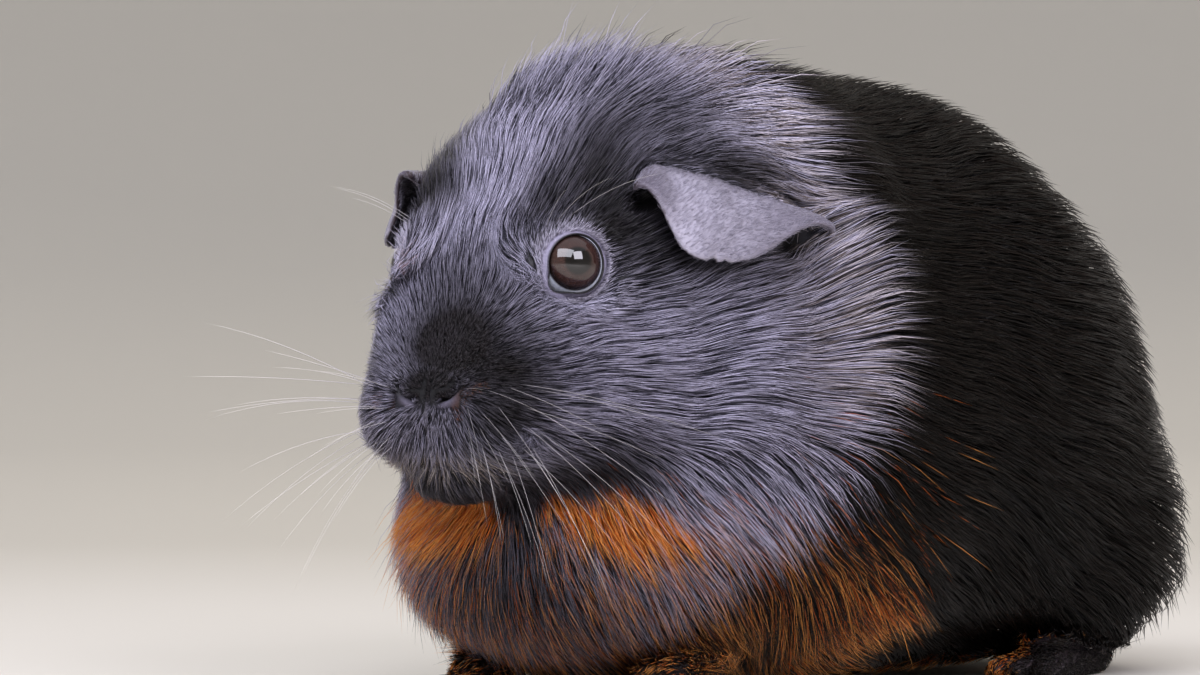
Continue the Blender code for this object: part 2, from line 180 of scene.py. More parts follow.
def curve(knots, at):
    """The smooth curve through the knots that never overshoots them."""
    xs, ys = (np.array(values, float) for values in zip(*knots))
    slopes = np.diff(ys) / np.diff(xs)
    before, after = slopes[:-1], slopes[1:]
    product, total = before * after, before + after
    inner = np.where(product > 0, 2 * product / np.where(total == 0, 1, total), 0)
    tangents = np.concatenate([slopes[:1], inner, slopes[-1:]])
    at = np.clip(at, xs[0], xs[-1])
    index = np.clip(np.searchsorted(xs, at, side="right") - 1, 0, len(xs) - 2)
    width = xs[index + 1] - xs[index]
    t = (at - xs[index]) / width
    return (
        (2 * t**3 - 3 * t**2 + 1) * ys[index]
        + (t**3 - 2 * t**2 + t) * width * tangents[index]
        + (3 * t**2 - 2 * t**3) * ys[index + 1]
        + (t**3 - t**2) * width * tangents[index + 1]
    )


def unit(vectors):
    return vectors / np.maximum(np.linalg.norm(vectors, axis=-1, keepdims=True), 1e-9)


def mirrored(place, side):
    return Vector((side * place[0], place[1], place[2]))


def node_box(name):
    """Lowest and highest corner of a CAD node, in millimetres."""
    return [TO_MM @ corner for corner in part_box(name)]


def glow(points, centre, radii):
    """1 at the centre of an ellipsoid, 0.5 on it, and fading slowly outside."""
    far = (((points - np.array(centre)) / np.array(radii)) ** 2).sum(-1)
    return np.exp(-0.7 * far)


def blob(points, centre, radii):
    """1 at the centre of an ellipsoid, 0.5 on it, and falling to 0 outside."""
    far = np.sqrt((((points - np.array(centre)) / np.array(radii)) ** 2).sum(-1))
    return 1 - rise(0.72, 1.28, far)


def either_side(points):
    """The points with the right side folded onto the left."""
    folded = points.copy()
    folded[:, 0] = np.abs(folded[:, 0])
    return folded


EYES = []
for _, word in SIDES:
    eye_low, eye_high = node_box(f"{word}_eye")
    EYES.append((eye_low + eye_high) / 2 + Vector((0.6 if word == "left" else -0.6, 0.4, -0.3)))
EYE_RADIUS = (eye_high - eye_low).z / 2 + 0.15


def eye_distance(points):
    """How far each point is from the nearer eyeball's centre."""
    return np.minimum(*(np.linalg.norm(points - np.array(eye), axis=-1) for eye in EYES))


# Meshes.


def object_of(name, mesh):
    """Turns a bmesh in millimetres into an object whose mesh is still in millimetres."""
    data = bpy.data.meshes.new(name)
    mesh.to_mesh(data)
    mesh.free()
    made = bpy.data.objects.new(name, data)
    bpy.context.scene.collection.objects.link(made)
    return made


def settle(obj):
    """Applies the object's modifiers to its mesh."""
    graph = bpy.context.evaluated_depsgraph_get()
    data = bpy.data.meshes.new_from_object(obj.evaluated_get(graph), depsgraph=graph)
    obj.modifiers.clear()
    obj.data = data
    return obj


def modify(obj, kind, **settings):
    modifier = obj.modifiers.new(kind.lower(), kind)
    for key, value in settings.items():
        setattr(modifier, key, value)
    return modifier


def vertex_array(data, field="co"):
    values = np.empty(len(data.vertices) * 3, np.float32)
    data.vertices.foreach_get(field, values)
    return values.reshape(-1, 3).astype(float)


def set_vertices(data, places):
    data.vertices.foreach_set("co", places.astype(np.float32).ravel())
    data.update()


def note(data, name, values):
    """Stores one number for each vertex, for a material to read."""
    attribute = data.attributes.new(name, "FLOAT", "POINT")
    attribute.data.foreach_set("value", np.asarray(values, np.float32))


def tree_of(obj):
    mesh = bmesh.new()
    mesh.from_mesh(obj.data)
    tree = BVHTree.FromBMesh(mesh)
    mesh.free()
    return tree


def finished(obj, material, stands_for=()):
    """Puts a finished piece into the frame, with its material and body, and hides the CAD nodes that it
    stands for.
    """
    obj.data.transform(TO_FRAME)
    obj.data.materials.clear()
    obj.data.materials.append(material)
    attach(obj, "root")
    if stands_for:
        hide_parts(*stands_for)
    return obj


# The skin.


def flesh(names, push):
    """Copies of the CAD nodes in one bmesh, in millimetres, swollen by the push."""
    whole = bmesh.new()
    for name in names:
        part = bmesh.new()
        part.from_mesh(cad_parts[name].data)
        bmesh.ops.remove_doubles(part, verts=part.verts, dist=1e-6)
        bmesh.ops.transform(part, matrix=TO_MM, verts=part.verts)
        part.normal_update()
        for corner in part.verts:
            corner.co += corner.normal * push
        data = bpy.data.meshes.new(name)
        part.to_mesh(data)
        part.free()
        whole.from_mesh(data)
        bpy.data.meshes.remove(data)
    return whole


def coat_depth(points):
    """How far the skin lies under the tips of the coat."""
    station, height = points[:, 1], points[:, 2]
    depth = read(COAT_DEPTH, station)
    depth *= 1 + 0.25 * rise(95, 112, height) * rise(28, 45, station) * (1 - rise(80, 110, station))
    depth *= 0.4 + 0.6 * rise(6, 30, height)
    depth *= 0.22 + 0.78 * rise(6.5, 14, eye_distance(points))
    by_ear = blob(either_side(points), (30, 48, 90), (15, 24, 16))
    return depth * (1 - 0.5 * by_ear)


def body_form():
    """The body without ears and feet: melted together, and shrunk from the coat's tips to the skin."""
    names = ["head", "lower_jaw", "neck", "trunk"]
    names += [f"{word}_{limb}" for _, word in SIDES for limb in ("foreleg", "thigh")]
    whole = flesh(names, CUT_COVER)
    for eye in EYES:
        bmesh.ops.create_uvsphere(whole, u_segments=32, v_segments=20, radius=EYE_RADIUS + 0.5,
                                  matrix=Matrix.Translation(eye))
    body = object_of("body_form", whole)
    modify(body, "REMESH", mode="VOXEL", voxel_size=BASE_VOXEL)
    settle(body)
    places = vertex_array(body.data)
    soft = body.vertex_groups.new(name="soft")
    weights = 0.25 + 0.75 * rise(25, 75, places[:, 1])
    for index, weight in enumerate(weights.tolist()):
        soft.add([index], weight, "REPLACE")
    modify(body, "SMOOTH", factor=0.6, iterations=22, vertex_group="soft")
    settle(body)
    body.vertex_groups.clear()
    places = vertex_array(body.data)
    normals = vertex_array(body.data, "normal")
    shrink = coat_depth(places)[:, None] + CUT_COVER
    set_vertices(body.data, places - normals * shrink)
    modify(body, "SMOOTH", factor=0.5, iterations=3)
    return settle(body)


def ear_place(share, down, side):
    """A point of the ear: share runs front to rear, and down from the head (0) to the free edge (1)."""
    base = np.array([curve(knots, share) for knots in EAR_BASE])
    edge = np.array([curve(knots, share) for knots in EAR_EDGE])
    if down < 0:
        inward = unit(np.array([-base[0], 0.0, 84 - base[2]]))
        place = base - inward * down * 22
    else:
        place = base + (edge - base) * down
    hang = np.clip(down, 0, 1)
    swell = 3.9 * math.sin(math.pi * hang**0.7) * math.sin(math.pi * share) ** 0.6
    place = place + np.array([0.8, -0.15, 0.5]) * swell
    flare = 1.6 * float(rise(0.68, 0.95, share)) * hang**2
    place = place + np.array([1.0, -0.1, 0.1]) * flare
    tuck = 2.4 * math.exp(-(((share - 0.31) / 0.13) ** 2)) * hang**3
    place = place + np.array([-0.53, 0.85, 0.0]) * tuck
    crease = 0.5 * math.exp(-(((share - 0.17 - 0.25 * hang) / 0.06) ** 2)) * hang * (1 - hang)
    ripple = 0.16 * math.sin(share * 23 + down * 4) * math.sin(down * 9 + 1) * hang
    place = place + np.array([0.8, -0.3, 0.2]) * (ripple - 2 * crease)
    if side < 0:  # the right ear is held a little higher and closer
        place = place + np.array([-2.0, 0.0, 4.0]) * hang
    return Vector((side * place[0], place[1], place[2]))


def ear_form(side):
    across, along = 140, 36
    mesh = bmesh.new()
    bmesh.ops.create_grid(mesh, x_segments=across, y_segments=along, size=0.5)
    for corner in mesh.verts:
        share = 0.01 + 0.98 * (corner.co.x + 0.5)
        torn = max(math.exp(-(((share - at) / half) ** 2)) for at, half in EAR_NICKS)
        down = -0.45 + (1.45 - NICK_DEPTH * torn) * (corner.co.y + 0.5)
        corner.co = ear_place(share, down, side)
    bmesh.ops.recalc_face_normals(mesh, faces=mesh.faces)
    ear = object_of("ear_form", mesh)
    modify(ear, "SOLIDIFY", thickness=0.9, offset=0, use_even_offset=True)
    return settle(ear)


def whole_skin(ears):
    """Body, feet and ears as one closed skin, finest on the head."""
    feet = [f"{word}_{foot}" for _, word in SIDES for foot in ("forefoot", "hindfoot")]
    mesh = flesh(feet, 0.12)
    for form in [body_form(), *ears]:
        mesh.from_mesh(form.data)
        bpy.data.objects.remove(form)
    skin = object_of("skin", mesh)
    modify(skin, "REMESH", mode="VOXEL", voxel_size=SKIN_VOXEL)
    modify(skin, "SMOOTH", factor=0.5, iterations=5)
    settle(skin)
    places = vertex_array(skin.data)
    coarse = skin.vertex_groups.new(name="coarse")
    weights = 0.1 + 0.9 * rise(36, 75, places[:, 1]) * rise(9, 14, places[:, 2])
    weights = np.round(weights, 2)
    for weight in np.unique(weights):
        coarse.add(np.flatnonzero(weights == weight).tolist(), float(weight), "REPLACE")
    triangles = 2 * len(skin.data.polygons)
    modify(skin, "DECIMATE", vertex_group="coarse", ratio=SKIN_TRIANGLES / triangles)
    settle(skin)
    skin.vertex_groups.clear()
    return skin


def refine(skin, centre, radius, cuts):
    """Divides the skin's faces near a place and evens them out."""
    mesh = bmesh.new()
    mesh.from_mesh(skin.data)
    bmesh.ops.triangulate(mesh, faces=mesh.faces)
    for _ in range(cuts):
        near = [face for face in mesh.faces if (face.calc_center_median() - centre).length < radius]
        edges = {edge for face in near for edge in face.edges}
        bmesh.ops.subdivide_edges(mesh, edges=list(edges), cuts=1, use_grid_fill=True)
        bmesh.ops.triangulate(mesh, faces=mesh.faces)
        within = [corner for corner in mesh.verts if (corner.co - centre).length < radius]
        for _ in range(3):
            bmesh.ops.smooth_vert(mesh, verts=within, factor=0.5, use_axis_x=True, use_axis_y=True,
                                  use_axis_z=True)
    mesh.to_mesh(skin.data)
    mesh.free()


def lid_frame(side):
    """Across, up and outward directions of the eyelids, as rows."""
    out = mirrored(LID_AXIS, side)
    ahead = (Vector((0, -1, 0)) - out * out.dot(Vector((0, -1, 0)))).normalized()
    up = ahead.cross(out) * side
    if up.z < 0:
        up = -up
    return np.array([ahead, up, out])


def lid_opening(around):
    """The radius of the opening between the lids: round, with a corner in front and below."""
    corner = np.angle(np.exp(1j * (around + 0.8)))
    rear = np.angle(np.exp(1j * (around - 3.0)))
    oval = 5.12 + 0.25 * np.cos(around) ** 2
    return oval + 0.95 * np.exp(-((corner / 0.34) ** 2)) + 0.15 * np.exp(-((rear / 0.35) ** 2))


def eye_places(points, eye, side):
    """Places round an eye: distance from the lids' axis, angle from the front, and height along the axis."""
    ahead, up, out = ((points - np.array(eye)) @ lid_frame(side).T).T
    return np.hypot(ahead, up), np.arctan2(up, ahead), out


def lid_distance(points, reach):
    """How far each place within reach of an eye is outside the edge of its lids, and 99 elsewhere."""
    found = np.full(len(points), 99.0)
    for (side, _), eye in zip(SIDES, EYES):
        off, around, out = eye_places(points, eye, side)
        near = (off < reach) & (out > -1)
        found = np.where(near, np.minimum(found, off - lid_opening(around)), found)
    return found


def shape_lids(skin):
    """Opens the lids round each eyeball and gives them a rounded rim."""
    places = vertex_array(skin.data)
    for (side, _), eye in zip(SIDES, EYES):
        off, around, out = eye_places(places, eye, side)
        near = (off < 11) & (out > -2)
        off, around, out = off[near], around[near], out[near]
        from_edge = off - lid_opening(around)
        ball = np.sqrt(np.maximum(EYE_RADIUS**2 - off**2, 0.5))
        under = ball - 0.75
        rim = 0.35 * np.exp(-(((from_edge - 0.45) / 0.45) ** 2))
        fold = -0.25 * np.exp(-(((from_edge - 1.75) / 0.4) ** 2))
        lid = np.sqrt(np.maximum((EYE_RADIUS + 0.35) ** 2 - off**2, 0.05)) + rim + fold
        lid = np.where(off > EYE_RADIUS - 0.3, np.maximum(lid, 2.0 - 0.55 * (off - EYE_RADIUS)), lid)
        wanted = under + (lid - under) * rise(-0.4, 0.12, from_edge)
        blend = rise(1.2, 4.6, from_edge)
        out_now = wanted * (1 - blend) + out * blend
        places[near] += np.outer(out_now - out, lid_frame(side)[2])
    set_vertices(skin.data, places)


def nostril_slit(points):
    """How far each place is from the slit of its nostril, and its share of the way along the slit."""
    side, _, height = either_side(points).T
    across, up = side - SLIT_START[0], height - SLIT_START[1]
    run, climb = SLIT_RUN
    along = np.clip((across * run + up * climb) / (run**2 + climb**2), 0, 1)
    off = np.hypot(across - run * along, up - climb * along + SLIT_BEND * np.sin(np.pi * along))
    return off, along


def shape_nose(skin):
    """Cuts the comma-shaped nostrils, the groove between them and the line of the mouth."""
    places = vertex_array(skin.data)
    side, station, height = either_side(places).T
    ahead = station < 14
    line, along = nostril_slit(places)
    slit = np.exp(-((line / (0.42 + 0.3 * (1 - along))) ** 2)) * ahead
    wing = np.exp(-(((line - 1.2) / 0.7) ** 2)) * (height < 57 + 0.5 * side) * ahead * (station < 6)
    groove = np.exp(-((side / 0.45) ** 2)) * rise(44.5, 46.5, height) * (1 - rise(57, 60, height)) * ahead
    mouth_height = 44.5 - 6.0 * (station + 2) / 32
    mouth = np.exp(-(((height - mouth_height) / 0.55) ** 2)) * (1 - rise(16, 24, station))
    places[:, 1] += 2.6 * slit - 0.35 * wing + 0.7 * groove
    normals = vertex_array(skin.data, "normal")
    places -= normals * (1.1 * mouth)[:, None]
    set_vertices(skin.data, places)


def shape_hollows(skin):
    """Sinks the dark openings beside the ears into the head."""
    places = vertex_array(skin.data)
    inward = np.column_stack([-np.sign(places[:, 0]), 0 * places[:, 0], 0 * places[:, 0]])
    set_vertices(skin.data, places + inward * (2.0 * hollow(places))[:, None])


def tan_share(points):
    """How tan the coat is: throat patches parted by a dark stripe, flanks, belly and vent."""
    side, station, height = points.T
    wobble = 1.2 * np.sin(0.55 * side + 0.31 * height) + 0.9 * np.sin(0.8 * station - 0.6 * height + 1)
    shifted = points + np.column_stack([wobble, wobble * 0, wobble * 0.6])  # so that the edges wander
    folded = either_side(shifted)
    leaning = shifted.copy()
    leaning[:, 2] += 0.19 * (shifted[:, 0] - 19)
    throat_left = blob(leaning, (19.5, 27, 37.5), (12.5, 15, 4.6))
    throat_right = blob(shifted, (-14, 26, 38), (15, 17, 5.4))
    unstriped = 1 - np.exp(-(((side - 4.6 - 0.2 * (36 - height)) / 3.4) ** 4)) * rise(12, 17, station)
    flank = blob(folded, (38, 86, 15.5), (20, 10.5, 12.5))
    belly = (1 - rise(5, 11, height + 0.6 * wobble)) * rise(60, 80, station)
    belly = belly * (1 - rise(34, 44, np.abs(side)))
    vent = blob(folded, (0, 238, 26), (12, 14, 9))
    tan = np.clip(np.maximum(throat_left, throat_right) * unstriped + flank + belly + vent, 0, 1)
    eye_corner = blob(folded, (16.0, 13.6, 75.0), (2.2, 3.0, 2.6)) * 0.16
    nostril_rim = blob(folded, (7.2, 2.4, 55.0), (1.5, 2.2, 2.1)) * 0.2
    return np.maximum(tan, np.maximum(eye_corner, nostril_rim))


def velvet_share(points):
    """How short and black the coat is on the bridge and the tip of the nose."""
    bridge = np.clip(1.25 * glow(points, (3, 4, 64.2), (10.5, 9, 9.3)), 0, 1)
    nose_tip = np.clip(1.2 * glow(points, (0.5, 1, 57.5), (6.5, 5, 3.6)), 0, 1)
    return np.maximum(bridge, nose_tip)


def frost_and_sheen_share(points):
    """How pale and lavender the hairs' tips are, partly real silver tips and partly painted sheen: most on
    the head and its ruff, and not at all behind them.
    """
    side, station, height = points.T
    frost_and_sheen = 0.94 + 0.06 * rise(48, 66, station) * rise(40, 60, height)
    # Dark coat and painted shade on either side, and painted shade on the left side alone.
    for places, losses in ((either_side(points), DARK_COAT_AND_SHADE), (points, LEFT_PAINTED_SHADE)):
        for centre, radii, loss in losses:
            frost_and_sheen *= 1 - loss * glow(places, centre, radii)
    # Darker towards the bottom of the face and on its lower sides: painted shade under the cheek and jaw.
    floor = 0.25 + 0.35 * rise(28, 42, station)
    shade = 14 * rise(16, 30, np.abs(side)) * (1 - rise(24, 34, station))
    frost_and_sheen *= floor + (1 - floor) * rise(26, 44, height - shade)
    return frost_and_sheen * (1 - rise(-3, 4, station - read(RUFF_EDGE, height)))


def markings(points):
    """The coat's colours at a place, shared by skin and hairs; the frosting holds painted sheen and painted
    shade too.
    """
    side, station, height = points.T
    lip = (1 - rise(5, 10, station)) * (1 - rise(7, 13, np.abs(side + 1)))
    cream = lip * np.exp(-(((height - 46.4) / 1.8) ** 2))
    velvet = velvet_share(points)
    frost_and_sheen = np.clip(frost_and_sheen_share(points) * (1 - 0.97 * velvet), 0, 1)
    return {"tan": tan_share(points), "cream": cream, "frost_and_sheen": frost_and_sheen, "velvet": velvet,
            "hollow": hollow(points)}


def hollow(points):
    """1 in the openings beside the ears, painted near-black as painted shade, and 0 away from them."""
    inside = np.zeros(len(points))
    folded = either_side(points)
    for centre, radii in HOLLOWS:
        leaning = folded.copy()
        leaning[:, 2] -= 0.3 * (folded[:, 1] - centre[1])
        inside = np.maximum(inside, blob(leaning, centre, radii))
    return inside


def build_skin():
    ears = [ear_form(side) for side, _ in SIDES]
    ear_trees = [tree_of(ear) for ear in ears]
    skin = whole_skin(ears)
    for (side, _), eye in zip(SIDES, EYES):
        refine(skin, eye + mirrored(LID_AXIS, side) * 2.5, 9.5, 2)
        refine(skin, mirrored(NOSTRIL, side), 4.5, 1)
    skin.data.update()
    shape_lids(skin)
    shape_nose(skin)
    shape_hollows(skin)
    skin.data.shade_smooth()
    return skin, ear_trees


def ear_painted_shade(share, down):
    """Painted shade on an ear: 1 at its front edge, less at its rear tip and its root."""
    rear = 0.7 * rise(0.6, 0.85, share)
    return np.maximum.reduce([1 - rise(0.08, 0.36, share), rear, 0.6 * (1 - rise(0.1, 0.4, down))])


def skin_notes(skin, ear_trees):
    """Marks on the skin's vertices: markings, bare ears with painted shade, lids, feet, darker lid rims and
    painted shade in the nostril slits.

    Returns 1 where an ear carries its own down, 0.5 where the head's hair lies over its root, and else 0.
    """
    places = vertex_array(skin.data)
    share, down = ear_shares(places)
    facing = vertex_array(skin.data, "normal")
    outward = facing[:, 0] * np.sign(places[:, 0])
    on_ear = ear_cover(places, ear_trees, 1.1)
    at_root = (down < 0.12) & ((outward > 0) | (facing[:, 2] > 0.3))
    on_ear = np.where(down < -0.15, 0, np.where(at_root, 0.5 * on_ear, on_ear))
    from_lid = lid_distance(places, 12)
    side, station, height = either_side(places).T
    line, _ = nostril_slit(places)
    wing_height = (height - 54.4 - 0.45 * (side - 4)) / 1.0
    marks = markings(places)
    marks["ear"] = on_ear > 0.75
    marks["ear_painted_shade"] = ear_painted_shade(share, down)
    # Painted shade on the ear's side that faces the head.
    marks["ear_inside_shade"] = 1 - rise(-0.15, 0.2, outward)
    marks["pale"] = rise(0.15, 0.4, from_lid) * (1 - rise(1.0, 2.0, from_lid))
    # Darker along the lid rims, and painted shade in the nostril slits.
    marks["lid_rim_and_slit_shade"] = np.maximum(1 - rise(0.0, 0.3, from_lid), np.exp(-((line / 0.6) ** 2)) * (station < 9))
    marks["nose_pad"] = np.exp(-(((side - 4.0) / 2.0) ** 2) - wing_height**2) * (station < 8)
    marks["foot"] = 1 - rise(7, 13, height)
    for name, values in marks.items():
        note(skin.data, name, values)
    return on_ear


def beside_ears(points):
    """The rows of the points that could lie on an ear."""
    side, station, height = either_side(points).T
    return np.flatnonzero((side > 17) & (station > 24) & (station < 74) & (height > 74) & (height < 104))


def ear_shares(points):
    """Where each point lies on the nearer ear: front (0) to rear (1), and head (0) to free edge (1)."""
    at, downs = np.linspace(0, 1, 25), np.linspace(-0.4, 1, 15)
    trees = []
    for side, _ in SIDES:
        tree = KDTree(len(at) * len(downs))
        for row, (share, down) in enumerate(itertools.product(at, downs)):
            tree.insert(ear_place(share, down, side), row)
        tree.balance()
        trees.append(tree)
    share, down = np.ones(len(points)), np.zeros(len(points))
    for row in beside_ears(points):
        found = trees[0 if points[row, 0] > 0 else 1].find(points[row])[1]
        share[row], down[row] = at[found // len(downs)], downs[found % len(downs)]
    return share, down


def ear_cover(points, ear_trees, reach):
    """1 for the points that lie within reach of an ear, and 0 for the others."""
    found = np.zeros(len(points))
    for row in beside_ears(points):
        tree = ear_trees[0] if points[row, 0] > 0 else ear_trees[1]
        found[row] = tree.find_nearest(Vector(points[row]), reach)[0] is not None
    return found


# The coat.


def hair_flow(points):
    """The way the hair of each region runs, before it is laid on the skin."""
    side, station, height = points.T
    left = np.tanh(side / 5)  # no sudden parting at the middle
    face = unit(points - WHORL)
    flank = rise(20, 50, np.abs(side))
    trunk = np.column_stack([0.0 * side, np.ones_like(side), -0.3 * flank - 0.25 * rise(0, 60, 70 - height)])
    rump = rise(195, 238, station)
    trunk[:, 2] -= 1.2 * rump
    trunk = unit(trunk)
    share = rise(40, 100, station)[:, None]
    flow = face * (1 - share) + trunk * share
    sweep = rise(30, 50, station) * (1 - rise(80, 105, station)) * rise(86, 96, height)
    sweep = sweep * rise(6, 20, np.abs(side))
    over = np.column_stack([0.1 * left, 1.0 + 0.0 * side, -0.1 - 0.5 * rise(45, 68, station)])
    flow += (unit(over) - flow) * (0.85 * sweep)[:, None]
    ruff = rise(52, 70, station) * (1 - rise(84, 100, station))
    ruff = ruff * (1 - rise(84, 94, height)) * rise(56, 72, height)
    flow[:, 2] += 0.3 * ruff
    breast = ((1 - rise(40, 52, height)) * (1 - rise(70, 100, station)) * rise(18, 26, station))[:, None]
    down = np.column_stack([0.25 * left, 0.35 + 0.0 * side, -1.0 + 0.0 * side])
    flow = flow * (1 - 0.75 * breast) + unit(down) * 0.75 * breast
    jaw = ((1 - rise(38, 44, height)) * (1 - rise(20, 28, station)))[:, None]
    flow = flow + np.array([0, 0.7, -0.2]) * jaw
    paw = (1 - rise(6, 12, height))[:, None]
    return flow * (1 - paw) + np.array([0.0, -1.0, -0.15]) * paw


def waves(points):
    """Small swings of the coat's direction, of three sizes in millimetres."""
    swing = np.zeros_like(points)
    for length, strength, seed in ((27, 0.1, 0.0), (11, 0.05, 2.0), (4.7, 0.03, 4.0)):
        turn = 2 * np.pi / length
        swing[:, 0] += strength * np.sin(turn * (points[:, 1] * 0.5 + points[:, 2] * 0.9) + seed)
        swing[:, 1] += strength * np.sin(turn * (points[:, 2] * 0.8 - points[:, 0] * 0.7) + seed + 1)
        swing[:, 2] += strength * np.sin(turn * (points[:, 0] * 0.9 + points[:, 1] * 0.6) + seed + 2)
    return swing


def lie(points, normals):
    """The directions in which the hair lies, in the plane of the skin and parted round the eyes."""
    flow = hair_flow(points)
    for eye in EYES:
        away = points - np.array(eye)
        away -= (away * normals).sum(-1, keepdims=True) * normals
        distance = np.linalg.norm(away, axis=-1, keepdims=True)
        away = away / np.maximum(distance, 1e-6)
        grip = np.exp(-((np.maximum(distance - 6.5, 0) / 5.0) ** 2))
        toward = (flow * away).sum(-1, keepdims=True)
        flow = flow - away * np.minimum(toward, 0) * grip + 0.45 * away * grip
    flow = flow + waves(points)
    flow -= (flow * normals).sum(-1, keepdims=True) * normals
    return unit(flow)


def body_hair(points):
    """The hair plan before ears, eyes, nose and feet cut it short."""
    folded = either_side(points)
    side, station, height = folded.T
    back = rise(84, 100, station) * (1 - rise(150, 195, station)) * rise(82, 105, height)
    hip = rise(100, 140, station) * (1 - rise(84, 104, height)) * rise(20, 42, side) * rise(10, 30, height)
    plan = {
        "length": read(HAIR_LENGTH, station),
        "width": read(HAIR_WIDTH, station),
        "lift": 1.0 + 0.3 * (1 - rise(20, 45, station)),
        "extra": 2.2 * back + 4.2 * hip,
        "ragged": 0.2 * (1 - rise(20, 45, station)),
        "layers": 4.0 - 1.3 * rise(84, 110, station),
    }
    for centre, radii, additions in HAIR_PATCHES:
        here = blob(folded, centre, radii)
        for key, value in additions.items():
            plan[key] += value * here
    plan["lift"] += 0.3 * rise(58, 66, station) * (1 - rise(70, 80, station))
    chest = (1 - rise(36, 48, height)) * rise(18, 28, station) * (1 - rise(85, 105, station))
    plan["lift"] += 0.5 * chest
    plan["ragged"] += 0.9 * chest
    plan["length"] *= 1 - 0.18 * chest
    right_brow = blob(np.column_stack([-points[:, 0], station, height]), (12, 14, 80), (5, 6, 11))
    plan["length"] += 3 * right_brow
    plan["extra"] += 3.4 * right_brow
    plan["length"] *= 1 - 0.3 * (1 - rise(8, 26, height))
    plan["layers"] *= 1 - 0.45 * (1 - rise(4, 12, height)) * (1 - rise(40, 52, side))
    return plan


def hair_plan(points, on_ear):
    """Length, width, lift, extra height, raggedness and number of layers of the hair at each place."""
    plan = body_hair(points)
    height = points[:, 2]
    length, width, lift, extra, ragged, layers = plan.values()
    length = np.minimum(length, 4.0 + 1.1 * ear_root_distance(either_side(points)))
    close = 1 - rise(6.0, 12, eye_distance(points))
    length = length * (1 - close) + 2.0 * close
    width = width * (1 - close) + 0.11 * close
    length = length * (1 - 0.6 * velvet_share(points))
    foot = 1 - rise(5, 12, height)
    foot *= 1 - rise(0.0, 1.0, on_foot_distance(points))
    extra = (extra + 4.5 * (1 - rise(8, 17, height))) * (1 - foot)
    lift = lift * (1 - foot) + 0.6 * foot
    ragged = np.clip(ragged * (1 - foot), 0, 1)
    length = length * (1 - foot) + 2.6 * foot
    width = width * (1 - foot) + 0.18 * foot
    downy = on_ear > 0.75
    length = np.where(downy, 1.7, length)
    width = np.where(downy, 0.055, width)
    layers = np.where(downy, 0.42, layers)
    return dict(zip(plan, (length, width, lift, extra, ragged, layers)))


def ear_root_distance(points):
    """How far each place, with its side made positive, is from the line where the ear leaves the head."""
    root = np.column_stack([curve(knots, np.linspace(0, 1, 17)) for knots in EAR_BASE])
    return np.linalg.norm(points[:, None, :] - root[None], axis=-1).min(1)


FOOT_BOXES = [node_box(f"{word}_{foot}") for _, word in SIDES for foot in ("forefoot", "hindfoot")]


def on_foot_distance(points):
    """How far each place is outside the nearest foot's box."""
    best = np.full(len(points), 99.0)
    for low, high in FOOT_BOXES:
        outside = np.maximum(np.array(low) - points, points - np.array(high))
        best = np.minimum(best, np.linalg.norm(np.maximum(outside, 0), axis=-1))
    return best


def tuft_form(rings, corners=3):
    """A slim closed spindle: its triangles, and each vertex's level and angle."""
    mesh = bmesh.new()
    bmesh.ops.create_uvsphere(mesh, u_segments=corners, v_segments=rings + 1, radius=1)
    bmesh.ops.triangulate(mesh, faces=mesh.faces)
    mesh.verts.ensure_lookup_table()
    places = np.array([corner.co for corner in mesh.verts])
    faces = np.array([[corner.index for corner in face.verts] for face in mesh.faces])
    mesh.free()
    level = np.rint(np.arccos(np.clip(places[:, 2], -1, 1)) / np.pi * (rings + 1)).astype(int)
    return faces, level, np.arctan2(places[:, 1], places[:, 0])


def spindles(name, lines, widths, normals, form):
    """One mesh of slim solid hairs. lines is (hairs, levels, 3), and widths is (hairs, levels)."""
    faces, level, angle = form
    along = unit(np.gradient(lines, axis=1))
    across = unit(np.cross(along, normals[:, None, :]))
    over = np.cross(across, along)
    radii = widths[:, level, None] / 2
    ring = across[:, level] * np.cos(angle)[None, :, None] + over[:, level] * np.sin(angle)[None, :, None]
    places = lines[:, level] + ring * radii
    hairs, corners = len(lines), len(level)
    index = (faces[None] + (np.arange(hairs) * corners)[:, None, None]).reshape(-1)
    data = bpy.data.meshes.new(name)
    data.vertices.add(hairs * corners)
    data.vertices.foreach_set("co", places.astype(np.float32).ravel())
    data.loops.add(len(index))
    data.loops.foreach_set("vertex_index", index.astype(np.int32))
    data.polygons.add(len(index) // 3)
    data.polygons.foreach_set("loop_start", np.arange(0, len(index), 3, dtype=np.int32))
    data.polygons.foreach_set("use_smooth", np.ones(len(index) // 3, bool))
    data.update(calc_edges=True)
    made = bpy.data.objects.new(name, data)
    bpy.context.scene.collection.objects.link(made)
    return made, index


def unwrap(made, index, roots, form):
    """Gives each hair a small patch of the map, at its root's place on an unwrap of the body's skin."""
    _, level, angle = form
    middle = np.array([0.0, 120.0, 62.0])
    away = (roots - middle) / np.array([1.0, 2.1, 1.1])
    turn = np.arctan2(away[:, 0], away[:, 2]) / (2 * np.pi) + 0.5
    tip = np.arccos(np.clip(unit(away)[:, 1], -1, 1)) / np.pi
    patch = np.column_stack([0.5 + 0.5 * np.cos(angle), level / level.max()]) * 0.003
    places = np.column_stack([turn, tip])[:, None, :] * 0.99 + 0.003 + patch[None]
    layer = made.data.uv_layers.new(name="OFBake")
    layer.data.foreach_set("uv", places.reshape(-1, 2)[index].astype(np.float32).ravel())


